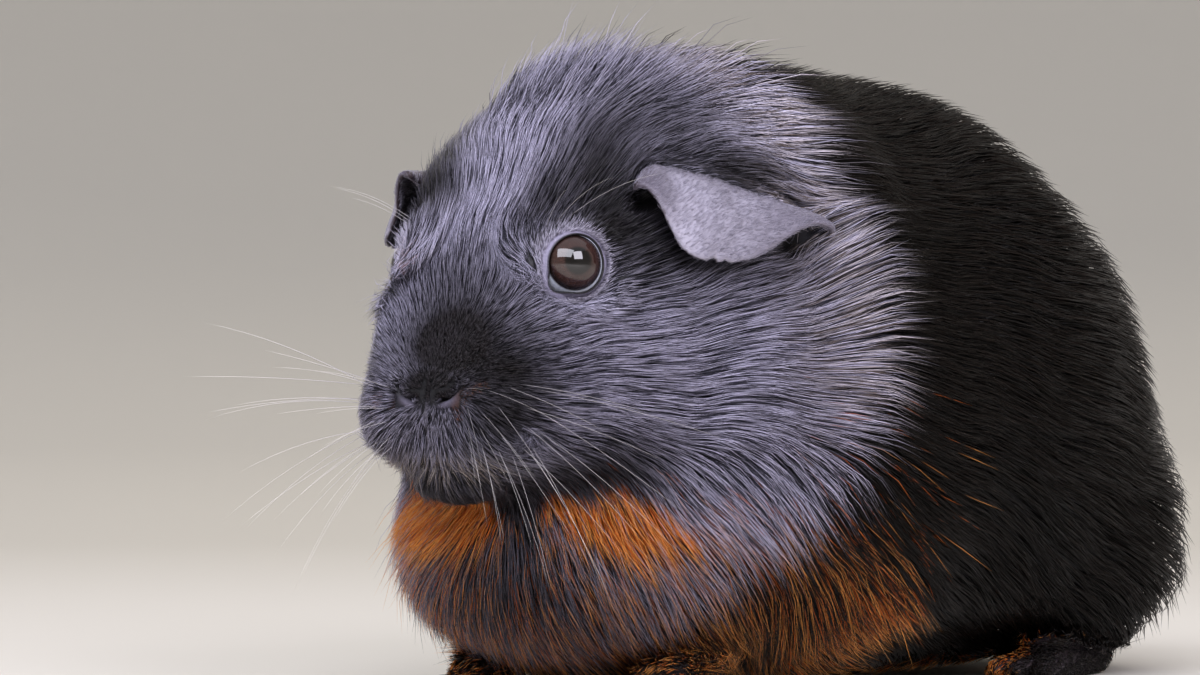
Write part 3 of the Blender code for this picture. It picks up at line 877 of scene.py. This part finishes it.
def skin_samples(skin, on_ear):
    """Random hair roots on the skin, as thick as the hair plan asks."""
    data = skin.data
    data.calc_loop_triangles()
    corners = np.empty(len(data.loop_triangles) * 3, np.int32)
    data.loop_triangles.foreach_get("vertices", corners)
    corners = corners.reshape(-1, 3)
    places, normals = vertex_array(data), vertex_array(data, "normal")
    a, b, c = (places[corners[:, k]] for k in range(3))
    areas = np.linalg.norm(np.cross(b - a, c - a), axis=-1) / 2
    centres = (a + b + c) / 3
    ear = on_ear[corners].max(-1)
    plan = hair_plan(centres, ear)
    density = plan["layers"] / (0.6 * plan["length"] * plan["width"])
    side, station, height = either_side(centres).T
    bare = (eye_distance(centres) < EYE_RADIUS) | (lid_distance(centres, 9) < 0.55)
    nostril = (np.abs(side - 4.2) < 2.0) & (np.abs(height - 55.1) < 1.0) & (station < 6)
    density[bare | nostril | (hollow(centres) > 0.5) | (height < 0.6)] = 0
    expected = areas * density
    count = int(expected.sum())
    chosen = CHANCE.choice(len(corners), count, p=expected / expected.sum())
    u, v = CHANCE.random(count), CHANCE.random(count)
    flip = u + v > 1
    u[flip], v[flip] = 1 - u[flip], 1 - v[flip]
    share = np.column_stack([1 - u - v, u, v])[:, :, None]
    roots = (places[corners[chosen]] * share).sum(1)
    facing = unit((normals[corners[chosen]] * share).sum(1))
    return roots, facing, ear[chosen]


def walk(tree, roots, facing, reach, heights, sway, gather):
    """Lines of hair that follow the skin: (hairs, levels, 3). heights is (hairs, levels)."""
    levels = heights.shape[1]
    lines = np.empty((len(roots), levels, 3))
    lines[:, 0] = roots - facing * 0.15
    places, normals = roots.copy(), facing.copy()
    for level in range(1, levels):
        way = unit(lie(places, normals) + sway)
        ahead = places + way * (reach / (levels - 1))[:, None] + gather / (levels - 1)
        for row, point in enumerate(ahead):
            place, normal, _, _ = tree.find_nearest(point)
            places[row] = place
            normals[row] = normal
        lines[:, level] = places + normals * heights[:, level, None]
    return lines


def locks_of(roots):
    """For each hair, the hair in the middle of its lock."""
    heads = np.sort(CHANCE.choice(len(roots), len(roots) // HAIRS_IN_LOCK, replace=False))
    tree = KDTree(len(heads))
    for head in heads:
        tree.insert(roots[head], int(head))
    tree.balance()
    return np.array([tree.find(root)[1] for root in roots])


def hair_shapes(hair, roots, ear):
    """Gives each hair its own tone, width, length, height of tip, sway and bend, from the hair plan."""
    count, ragged = len(roots), hair["ragged"]
    lock = locks_of(roots)
    own_tone, reach_share, climb = CHANCE.random(count), CHANCE.random(count), CHANCE.random(count)
    ruff = rise(48, 66, roots[:, 1]) * rise(40, 60, roots[:, 2])
    guard = CHANCE.random(count) < GUARD_SHARE + 0.07 * ruff  # paler guard hairs lie over the darker ones
    hair["tone"] = np.where(guard, 0.68 + 0.32 * own_tone, 0.2 * own_tone)
    downy = np.flatnonzero(ear > 0.75)
    # The ear's down takes the same painted shade as its skin.
    hair["tone"][downy] *= 1 - 0.55 * ear_painted_shade(*ear_shares(roots[downy]))
    hair["width"] = hair["width"] * np.where(guard, 0.86, 1.1)
    hair["length"] = hair["length"] * np.where(guard, 0.95 + 0.25 * reach_share, 0.65 + 0.35 * reach_share)
    depth = np.minimum(coat_depth(roots) + 0.15, hair["length"] * 0.55)
    climb = np.where(guard, 0.55 + 0.45 * climb, 0.75 * climb)
    hair["tip"] = depth * hair["lift"] * (0.5 + 0.5 * climb + 0.35 * ragged * (climb - 0.3))
    hair["tip"] += hair["extra"] * (0.7 + 0.3 * climb)
    stray = (CHANCE.random(count) < 0.03) & (roots[:, 1] < 90)
    hair["tip"][stray] *= 1.5
    hair["tip"][downy] = 0.28
    at_ear_root = (ear > 0) & (ear < 0.75)
    own_sway = CHANCE.normal(0, 1, (count, 3))
    hair["sway"] = (own_sway * 0.025 + own_sway[lock] * 0.015) * (1 + 2.5 * ragged)[:, None]
    hair["gather"] = (roots[lock] - roots) * (0.12 + 0.4 * ragged)[:, None]
    hair["gather"][ear > 0] = 0
    hair["tip"] = np.where(at_ear_root, np.minimum(hair["tip"], 1.1), hair["tip"])
    hair["bend"] = 1.6 - 0.55 * ragged


def hair_colours(hair, roots, ear):
    """Mixes single tan, black and cream hairs into the markings, and pales the down of ears and lids."""
    _, station, height = roots.T
    count = len(roots)
    chest = (1 - rise(34, 48, height)) * rise(20, 30, station) * (1 - rise(72, 98, station))
    flank = (1 - rise(50, 62, height)) * rise(45, 60, station) * (1 - rise(92, 105, station))
    tipped = CHANCE.random(count) < 0.36 * chest + 0.06 * flank
    tan = np.where(tipped, np.maximum(hair["tan"], 0.38), hair["tan"])
    black = CHANCE.random(count) < 0.14 + 0.26 * rise(55, 75, station)
    hair["tan"] = np.where(black, 0.15 * tan, tan)
    cream = hair["cream"] * (CHANCE.random(count) < 0.45)
    # Cream tips on the ruff: partly worn tips, partly painted sheen.
    worn_and_sheen = rise(44, 66, station) * rise(45, 60, height) * hair["frost_and_sheen"] * (CHANCE.random(count) < 0.6)
    hair["cream"] = np.maximum(cream, 0.6 * worn_and_sheen)
    ring = 1 - rise(1.5, 2.3, lid_distance(roots, 9))
    hair["bare_ear"] = np.maximum(ear > 0.75, ring)
    hair["length"] = hair["length"] * (1 - 0.35 * ring)


def coat_pieces(skin, skin_tree, ear_trees, on_ear, material):
    """The whole coat, in pieces by station, side and length of hair."""
    roots, facing, ear = skin_samples(skin, on_ear)
    hair = hair_plan(roots, ear)
    hair.update(markings(roots))
    hair_shapes(hair, roots, ear)
    hair_colours(hair, roots, ear)
    hair["roots"], hair["facing"], hair["ear"] = roots, facing, ear
    side, station, _ = roots.T
    long_hair = hair["length"] > LONG_HAIR
    band = np.digitize(station, BANDS)
    for number, (side_sign, word), rings in itertools.product(range(len(BANDS) + 1), SIDES, (1, 2)):
        inside = (band == number) & (np.sign(side + 1e-9) == side_sign)
        here = np.flatnonzero(inside & (long_hair == (rings == 2)))
        if len(here):
            own = {key: values[here] for key, values in hair.items()}
            name = f"coat_{word}_{number}_{'long' if rings == 2 else 'short'}"
            coat_piece(name, rings, own, skin_tree, ear_trees, material)


def free_share(hair, lines, ear_trees):
    """How much of each line, from its root, stays clear of the ears and of the hollows beside them."""
    roots = hair["roots"]
    free = np.ones(len(roots))
    steps = lines.shape[1] - 1
    by_ear = (hair["ear"] < 0.25) & (roots[:, 2] > 72) & (roots[:, 1] > 16) & (roots[:, 1] < 72)
    for row in np.flatnonzero(by_ear):
        tree = ear_trees[0] if roots[row, 0] > 0 else ear_trees[1]
        for step, (start, end) in enumerate(zip(lines[row], lines[row, 1:])):
            way = Vector(end - start)
            distance = tree.ray_cast(Vector(start), way.normalized(), way.length)[3]
            if distance is not None:
                free[row] = (step + distance / way.length) / steps
                break
    for part in np.linspace(1, 0.1, 10):
        step = min(int(part * steps), steps - 1)
        place = lines[:, step] + (lines[:, step + 1] - lines[:, step]) * (part * steps - step)
        free = np.where(hollow(place) > 0.5, np.minimum(free, part - 0.1), free)
    return free


def coat_piece(name, rings, hair, skin_tree, ear_trees, material):
    """One piece of the coat: its hairs walked over the skin, cut short at the ears, and coloured."""
    form = tuft_form(rings)
    levels = rings + 2
    share = np.linspace(0, 1, levels)
    heights = hair["tip"][:, None] * (1 - (1 - share[None]) ** hair["bend"][:, None])
    lines = walk(skin_tree, *(hair[key] for key in ("roots", "facing", "length")), heights, hair["sway"],
                 hair["gather"])
    lines[:, 1:, 2] = np.maximum(lines[:, 1:, 2], 0.4)
    free = free_share(hair, lines, ear_trees)
    stopped = free < 1
    hair["length"] = np.where(stopped, hair["length"] * np.maximum(free - 0.05, 0), hair["length"])
    lines[stopped] = walk(skin_tree, *(hair[key][stopped] for key in ("roots", "facing", "length")),
                          heights[stopped], hair["sway"][stopped], hair["gather"][stopped])
    clear = hair["length"] > 1
    hair, lines = {key: values[clear] for key, values in hair.items()}, lines[clear]
    taper = {1: [0.0, 1.0, 0.0], 2: [0.0, 1.0, 0.72, 0.0]}[rings]
    widths = hair["width"][:, None] * np.array(taper)[None]
    obj, index = spindles(name, lines, widths, hair["facing"], form)
    unwrap(obj, index, hair["roots"], form)
    for key in ("tan", "cream", "frost_and_sheen", "tone", "bare_ear"):
        note(obj.data, key, np.repeat(hair[key], len(form[1])))
    note(obj.data, "along", np.tile(form[1] / (levels - 1), len(lines)))
    finished(obj, material)


# Eyes, claws and whiskers.


def eyeball(side, word, eye, material):
    """A ball with the cornea's bulge, its pole on the gaze."""
    mesh = bmesh.new()
    bmesh.ops.create_uvsphere(mesh, u_segments=72, v_segments=56, radius=EYE_RADIUS)
    gaze = mirrored(GAZE, side)
    turn = gaze.to_track_quat("Z", "Y").to_matrix().to_4x4()
    for corner in mesh.verts:
        off = math.hypot(corner.co.x, corner.co.y)
        if corner.co.z > 0:
            corner.co += corner.co.normalized() * 0.28 * float(1 - rise(1.5, 5.2, off))
    own = [corner.co.copy() for corner in mesh.verts]
    bmesh.ops.transform(mesh, verts=mesh.verts, matrix=Matrix.Translation(eye) @ turn)
    ball = object_of(f"{word}_eyeball", mesh)
    place = ball.data.attributes.new("iris_place", "FLOAT_VECTOR", "POINT")
    place.data.foreach_set("vector", np.array(own, np.float32).ravel())
    ball.data.shade_smooth()
    return finished(ball, material, [f"{word}_eye"])


def claws(material):
    """A curved, tapering claw of horn in the place of each CAD claw."""
    for node in sorted(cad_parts):
        if "_claw_" not in node:
            continue
        low, high = node_box(node)
        middle, size = (low + high) / 2, high - low
        mesh = bmesh.new()
        bmesh.ops.create_cone(mesh, segments=10, radius1=size.z / 2, radius2=size.z * 0.16, depth=size.y,
                              cap_ends=True)
        bmesh.ops.subdivide_edges(
            mesh, edges=[edge for edge in mesh.edges if abs(edge.verts[0].co.z - edge.verts[1].co.z) > 0.5],
            cuts=7)
        for corner in mesh.verts:
            share = corner.co.z / size.y + 0.5
            corner.co.x *= 0.8
            corner.co.y -= 0.55 * math.sin(math.pi * share) - 0.25
        bmesh.ops.rotate(mesh, verts=mesh.verts, matrix=Matrix.Rotation(math.pi / 2, 3, "X"))
        bmesh.ops.translate(mesh, verts=mesh.verts, vec=middle)
        bmesh.ops.recalc_face_normals(mesh, faces=mesh.faces)
        claw = object_of(f"{node}_horn", mesh)
        claw.data.shade_smooth()
        finished(claw, material, [node])


def whiskers(skin_tree, material):
    """Long stiff hairs that fan out from the pads beside the mouth, and a few over the eyes."""
    lines, widths = [], []
    steps = 9
    for side, _ in SIDES:
        for row in range(5):
            for column in range(5):
                jitter = CHANCE.uniform(-1, 1, 6)
                height = 46.5 + 2.6 * row + 0.7 * jitter[0]
                place = Vector((side * (7.5 + 1.9 * column), 1 + 1.9 * column, height))
                root, normal, _, _ = skin_tree.find_nearest(place)
                near = 1 if side > 0 else 0
                back = 0.1 * column + near * (0.25 + 0.08 * column)
                way = Vector((side * (0.6 + 0.1 * column), -0.72 + back, -0.78 + 0.27 * row - 0.45 * near))
                way += Vector(jitter[1:4]) * 0.2
                way.normalize()
                reach = (15 + 4.2 * column + 4 * jitter[4]) * (0.8 + 0.07 * row)
                droop = (0.42, 0.26, 0.18, 0.14, 0.1)[row] + 0.1 * jitter[5]
                lines.append(bent_hair(root, normal, way, reach, droop, steps))
                widths.append((0.085 + 0.03 * column / 4) * (1 - 0.4 * near))
        for number in range(3):
            place = Vector((side * (14.5 + 1.2 * number), 14 + 2.5 * number, 88.5))
            root, normal, _, _ = skin_tree.find_nearest(place)
            way = Vector((side * (0.7 + 0.2 * number), -0.6 + 0.3 * number, 0.75)).normalized()
            lines.append(bent_hair(root, normal, way, 17 + 4 * number, 0.25, steps))
            widths.append(0.075)
    lines = np.array(lines)
    form = tuft_form(steps - 2, corners=4)
    share = np.linspace(0, 1, steps)
    taper = np.where(share > 0, 1 - 0.75 * share, 0)
    taper[-1] = 0
    normals = unit(np.cross(lines[:, 1] - lines[:, 0], np.array([0.3, 0.2, 1.0])))
    made, _ = spindles("whiskers", lines, np.array(widths)[:, None] * taper[None], normals, form)
    note(made.data, "along", np.tile(form[1] / (steps - 1), len(lines)))
    return finished(made, material)


def bent_hair(root, normal, way, reach, droop, steps):
    """A line that leaves the skin along the way and sags toward its end."""
    line = []
    for step in range(steps):
        share = step / (steps - 1)
        place = root - normal * 0.4 + way * reach * share
        place.z -= droop * reach * share**2
        line.append(list(place))
    return line


# Finishes.


def linear(hex_colour):
    """An sRGB hex colour as linear RGBA."""
    parts = [int(hex_colour[k:k + 2], 16) / 255 for k in (0, 2, 4)]
    return (*(p / 12.92 if p <= 0.04045 else ((p + 0.055) / 1.055) ** 2.4 for p in parts), 1.0)


def material_of(name):
    material = bpy.data.materials.new(name)
    material.use_nodes = True
    return material, material.node_tree, material.node_tree.nodes["Principled BSDF"]


def add(tree, kind, output, settings=None, **inputs):
    """Adds a node with its settings and inputs, and returns one of its outputs.

    An input is named, or numbered as i0 or i1 where names repeat. It is linked to a socket, or given a
    value or an sRGB hex colour.
    """
    node = tree.nodes.new(f"ShaderNode{kind}")
    for key, value in (settings or {}).items():
        setattr(node, key, value)
    for key, value in inputs.items():
        name = key.replace("_", " ")
        named = [socket for socket in node.inputs if socket.enabled and socket.name == name]
        socket = named[0] if named else node.inputs[int(key[1:])]
        if isinstance(value, bpy.types.NodeSocket):
            tree.links.new(value, socket)
        else:
            socket.default_value = linear(value) if isinstance(value, str) else value
    return next(socket for socket in node.outputs if socket.enabled and socket.name == output)


COLOUR = {"data_type": "RGBA"}  # a Mix node that mixes colours
TIMES = {"operation": "MULTIPLY"}


def hair_material():
    """Smooth guard hair: keratin, dark and glossy, with paler lavender tips on the head that are partly
    painted sheen.
    """
    material, tree, shader = material_of("smooth_guard_hair")
    tone, along, frost_and_sheen, tan_reach, cream_share, down_share = (
        add(tree, "Attribute", "Fac", {"attribute_name": name})
        for name in ("tone", "along", "frost_and_sheen", "tan", "cream", "bare_ear")
    )
    black = add(tree, "Mix", "Result", COLOUR, Factor=tone, A="060403", B="17100C")
    # Pale lavender tips: partly real silver tips, partly painted sheen of the light on black hair.
    pale_tip_and_sheen = add(tree, "Mix", "Result", COLOUR, Factor=tone, A="100F22", B="E8E3FF")
    toward_tip = add(tree, "Math", "Value", {"operation": "POWER"}, i0=along, i1=0.5)
    tips = add(tree, "Math", "Value", TIMES, i0=frost_and_sheen, i1=toward_tip)
    colour = add(tree, "Mix", "Result", COLOUR, Factor=tips, A=black, B=pale_tip_and_sheen)
    tan = add(tree, "Mix", "Result", COLOUR, Factor=tone, A="D8661A", B="FFB45C")
    tan = add(tree, "Mix", "Result", COLOUR, Factor=along, A="8A3A08", B=tan)
    reach = add(tree, "Math", "Value", TIMES, i0=tan_reach, i1=1.5)
    from_tip = add(tree, "Math", "Value", {"operation": "ADD"}, i0=along, i1=reach)
    tanned = add(tree, "MapRange", "Result", Value=from_tip, From_Min=1.0, From_Max=1.4)
    colour = add(tree, "Mix", "Result", COLOUR, Factor=tanned, A=colour, B=tan)
    cream = add(tree, "Mix", "Result", COLOUR, Factor=tone, A="A08C7C", B="E4D5C2")
    creamed = add(tree, "Math", "Value", TIMES, i0=cream_share, i1=along)
    colour = add(tree, "Mix", "Result", COLOUR, Factor=creamed, A=colour, B=cream)
    down = add(tree, "Mix", "Result", COLOUR, Factor=tone, A="827D8C", B="B2AEBE")
    colour = add(tree, "Mix", "Result", COLOUR, Factor=down_share, A=colour, B=down)
    tree.links.new(colour, shader.inputs["Base Color"])
    shader.inputs["Roughness"].default_value = 0.34
    shader.inputs["IOR"].default_value = 1.5
    shader.inputs["Specular IOR Level"].default_value = 0.25
    return material


def skin_material():
    """Living skin under and between the hairs: dark slate pigment, bare and satiny on the ears, with painted
    shade on parts of the ears, in the hollows beside them and in the nostril slits.
    """
    material, tree, shader = material_of("pigmented_skin")
    share = {
        name: add(tree, "Attribute", "Fac", {"attribute_name": name})
        for name in ("frost_and_sheen", "velvet", "tan", "ear_painted_shade", "ear_inside_shade", "ear", "foot", "pale", "nose_pad",
                     "lid_rim_and_slit_shade", "hollow")
    }
    place = add(tree, "TexCoord", "Object")
    pores = add(tree, "TexNoise", "Fac", Vector=place, Scale=1 / (0.6 * MM), Detail=4.0)
    clouds = add(tree, "TexNoise", "Fac", Vector=place, Scale=1 / (6 * MM), Detail=3.0)
    base = add(tree, "Mix", "Result", COLOUR, Factor=clouds, A="0E0C0F", B="171518")
    ear = add(tree, "Mix", "Result", COLOUR, Factor=clouds, A="7C7782", B="A09CAC")
    # Painted shade on the ear's front edge, rear tip and root.
    ear = add(tree, "Mix", "Result", COLOUR, Factor=share["ear_painted_shade"], A=ear, B="544E5A")
    # Painted shade on the ear's side that faces the head.
    ear = add(tree, "Mix", "Result", COLOUR, Factor=share["ear_inside_shade"], A=ear, B="2C2226")
    foot = add(tree, "Mix", "Result", COLOUR, Factor=clouds, A="2A2427", B="453B3D")
    lid = add(tree, "Mix", "Result", COLOUR, Factor=pores, A="6E697C", B="9893A8")
    pad = add(tree, "Mix", "Result", COLOUR, Factor=pores, A="34303A", B="5A5566")
    # Bluish skin under the frosting, which is partly painted sheen.
    for name, finish in (("frost_and_sheen", "16151C"), ("velvet", "08070A"), ("tan", "6B3A1E"), ("ear", ear),
                         # Darker lid rims, and painted shade in the nostril slits.
                         ("foot", foot), ("pale", lid), ("nose_pad", pad), ("lid_rim_and_slit_shade", "0D0A0C"),
                         # Painted shade: near-black in the hollows beside the ears.
                         ("hollow", "0A0708")):
        base = add(tree, "Mix", "Result", COLOUR, Factor=share[name], A=base, B=finish)
    tree.links.new(base, shader.inputs["Base Color"])
    rough = add(tree, "MapRange", "Result", Value=share["velvet"], To_Min=0.48, To_Max=0.85)
    tree.links.new(rough, shader.inputs["Roughness"])
    shader.inputs["Specular IOR Level"].default_value = 0.3
    shader.inputs["Sheen Weight"].default_value = 0.12
    shader.inputs["Sheen Roughness"].default_value = 0.4
    shader.inputs["Sheen Tint"].default_value = linear("C9C4DA")
    bump = add(tree, "Bump", "Normal", Height=pores, Strength=0.35, Distance=0.2 * MM)
    tree.links.new(bump, shader.inputs["Normal"])
    return material


def eye_material():
    """A wet eyeball: brown iris with fine fibres, black pupil, bluish white at its border."""
    material, tree, shader = material_of("wet_brown_eye")
    place = add(tree, "Attribute", "Vector", {"attribute_name": "iris_place"})  # mm, its pole on the gaze
    x, y, z = add(tree, "SeparateXYZ", "X", Vector=place).node.outputs
    flat = add(tree, "CombineXYZ", "Vector", X=x, Y=y)
    off = add(tree, "VectorMath", "Value", {"operation": "LENGTH"}, Vector=flat)
    turn = add(tree, "Math", "Value", {"operation": "ARCTAN2"}, i0=y, i1=x)
    round_pupil = add(tree, "Math", "Value", TIMES, i0=turn, i1=7.0)
    outward = add(tree, "Math", "Value", TIMES, i0=off, i1=0.5)
    fibre_place = add(tree, "CombineXYZ", "Vector", X=round_pupil, Y=outward)
    fibres = add(tree, "TexNoise", "Fac", Vector=fibre_place, Scale=2.2, Detail=4.0)
    past_pupil, past_iris, past_limbus = (
        add(tree, "MapRange", "Result", {"interpolation_type": "SMOOTHSTEP"}, Value=off, From_Min=start,
            From_Max=end)
        for start, end in ((PUPIL - 0.3, PUPIL + 0.4), (IRIS - 0.7, IRIS), (LIMBUS - 0.15, LIMBUS + 0.15))
    )
    iris = add(tree, "Mix", "Result", COLOUR, Factor=fibres, A="1A100F", B="402B27")
    colour = add(tree, "Mix", "Result", COLOUR, Factor=past_pupil, A="060405", B=iris)
    colour = add(tree, "Mix", "Result", COLOUR, Factor=past_iris, A=colour, B="120A08")
    white = add(tree, "Mix", "Result", COLOUR, Factor=fibres, A="B2BCD2", B="E8ECF6")
    behind = add(tree, "Math", "Value", {"operation": "LESS_THAN"}, i0=z, i1=0.0)
    outside = add(tree, "Math", "Value", {"operation": "MAXIMUM"}, i0=past_limbus, i1=behind)
    colour = add(tree, "Mix", "Result", COLOUR, Factor=outside, A=colour, B=white)
    tree.links.new(colour, shader.inputs["Base Color"])
    shader.inputs["Roughness"].default_value = 0.3
    shader.inputs["Specular IOR Level"].default_value = 0.0
    shader.inputs["Coat Weight"].default_value = 1.0
    shader.inputs["Coat IOR"].default_value = 1.64
    shader.inputs["Coat Roughness"].default_value = 0.015
    return material


def claw_material():
    """Horn: brown-black, mottled with clearer and lighter grains."""
    material, tree, shader = material_of("dark_horn_claw")
    place = add(tree, "TexCoord", "Object")
    grain = add(tree, "TexNoise", "Fac", Vector=place, Scale=1 / (0.8 * MM), Detail=3.0)
    colour = add(tree, "Mix", "Result", COLOUR, Factor=grain, A="2B211C", B="6E5B4C")
    tree.links.new(colour, shader.inputs["Base Color"])
    shader.inputs["Roughness"].default_value = 0.3
    return material


def whisker_material():
    """Whisker keratin: pale and a little glossy, darker at its root."""
    material, tree, shader = material_of("pale_whisker")
    along = add(tree, "Attribute", "Fac", {"attribute_name": "along"})
    colour = add(tree, "Mix", "Result", COLOUR, Factor=along, A="8E8A90", B="E6E1DC")
    tree.links.new(colour, shader.inputs["Base Color"])
    shader.inputs["Roughness"].default_value = 0.35
    return material


# The studio.


def backdrop():
    """A pale floor that sweeps up into a round wall, so that no horizon shows."""
    reach, bend, top = 3.6, 2.6, 3.4
    mesh = bmesh.new()
    turns = [math.radians(step * 10) for step in range(10)]
    profile = [(0.0, 0.0)] + [(reach - bend + bend * math.sin(a), bend - bend * math.cos(a)) for a in turns]
    corners = [mesh.verts.new((x, 0, z)) for x, z in [*profile, (reach, top)]]
    edges = [mesh.edges.new(pair) for pair in zip(corners, corners[1:])]
    bmesh.ops.spin(mesh, geom=corners + edges, cent=(0, 0, 0), axis=(0, 0, 1), angle=2 * math.pi, steps=96,
                   use_merge=True)
    bmesh.ops.remove_doubles(mesh, verts=mesh.verts, dist=1e-5)
    bmesh.ops.recalc_face_normals(mesh, faces=mesh.faces)
    bmesh.ops.reverse_faces(mesh, faces=mesh.faces)
    sweep = object_of("backdrop", mesh)
    sweep.data.shade_smooth()
    material, _, shader = material_of("matt_pale_paper")  # matt paper: no highlight, only a soft shadow
    shader.inputs["Base Color"].default_value = linear("D2CDC3")
    shader.inputs["Roughness"].default_value = 0.95
    sweep.data.materials.append(material)


def soft_light(name, place, size, watts, colour):
    """A soft box that faces the animal's head."""
    aim = Vector((0, -0.05, 0.06))
    light = bpy.data.lights.new(name, "AREA")
    light.shape = "RECTANGLE"
    light.size, light.size_y = size
    light.energy = watts
    light.color = linear(colour)[:3]
    lamp = bpy.data.objects.new(name, light)
    lamp.location = place
    lamp.rotation_euler = (aim - Vector(place)).to_track_quat("-Z", "Y").to_euler()
    bpy.context.scene.collection.objects.link(lamp)


def studio():
    backdrop()
    world = bpy.data.worlds.new("studio")
    bpy.context.scene.world = world
    world.use_nodes = True
    world.node_tree.nodes["Background"].inputs["Color"].default_value = linear("EDEFF5")
    world.node_tree.nodes["Background"].inputs["Strength"].default_value = 0.65
    soft_light("key", (0.15, -1.05, 0.95), (1.4, 0.78), 25, "F1F2FF")
    soft_light("left", (1.0, -0.55, 0.7), (0.64, 0.6), 12.5, "F3F0FF")
    soft_light("rear", (-0.5, 1.0, 1.1), (0.9, 0.9), 4, "FFF6E6")
    bpy.context.scene.view_settings.view_transform = "Standard"


def camera():
    """The camera stands low in front, 32 degrees to the animal's left, and looks up a little."""
    turn, tilt = math.radians(32), math.radians(1.3)
    data = bpy.data.cameras.new("camera")
    data.sensor_width = 36
    data.lens = 121.8
    view = bpy.data.objects.new("camera", data)
    bpy.context.scene.collection.objects.link(view)
    ahead = Vector((-math.sin(turn), math.cos(turn), 0))
    right = Vector((math.cos(turn), math.sin(turn), 0))
    look = ahead * math.cos(tilt) + Vector((0, 0, math.sin(tilt)))
    up = right.cross(look)
    rotation = Matrix((right, up, -look)).transposed()
    nose_row = CAD_BOX[0][1]
    view.location = (0.3967, nose_row - 0.5776, 0.05)
    view.rotation_euler = rotation.to_euler()
    data.clip_start, data.clip_end = 0.05, 50
    bpy.context.scene.camera = view


def main():
    studio()
    camera()
    skin, ear_trees = build_skin()
    skin_tree = tree_of(skin)
    on_ear = skin_notes(skin, ear_trees)
    coat_pieces(skin, skin_tree, ear_trees, on_ear, hair_material())
    whiskers(skin_tree, whisker_material())
    eye_finish = eye_material()
    for (side, word), eye in zip(SIDES, EYES):
        eyeball(side, word, eye, eye_finish)
    claws(claw_material())
    flesh_nodes = [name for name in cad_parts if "_eye" not in name and "_claw_" not in name]
    finished(skin, skin_material(), sorted(flesh_nodes))


main()
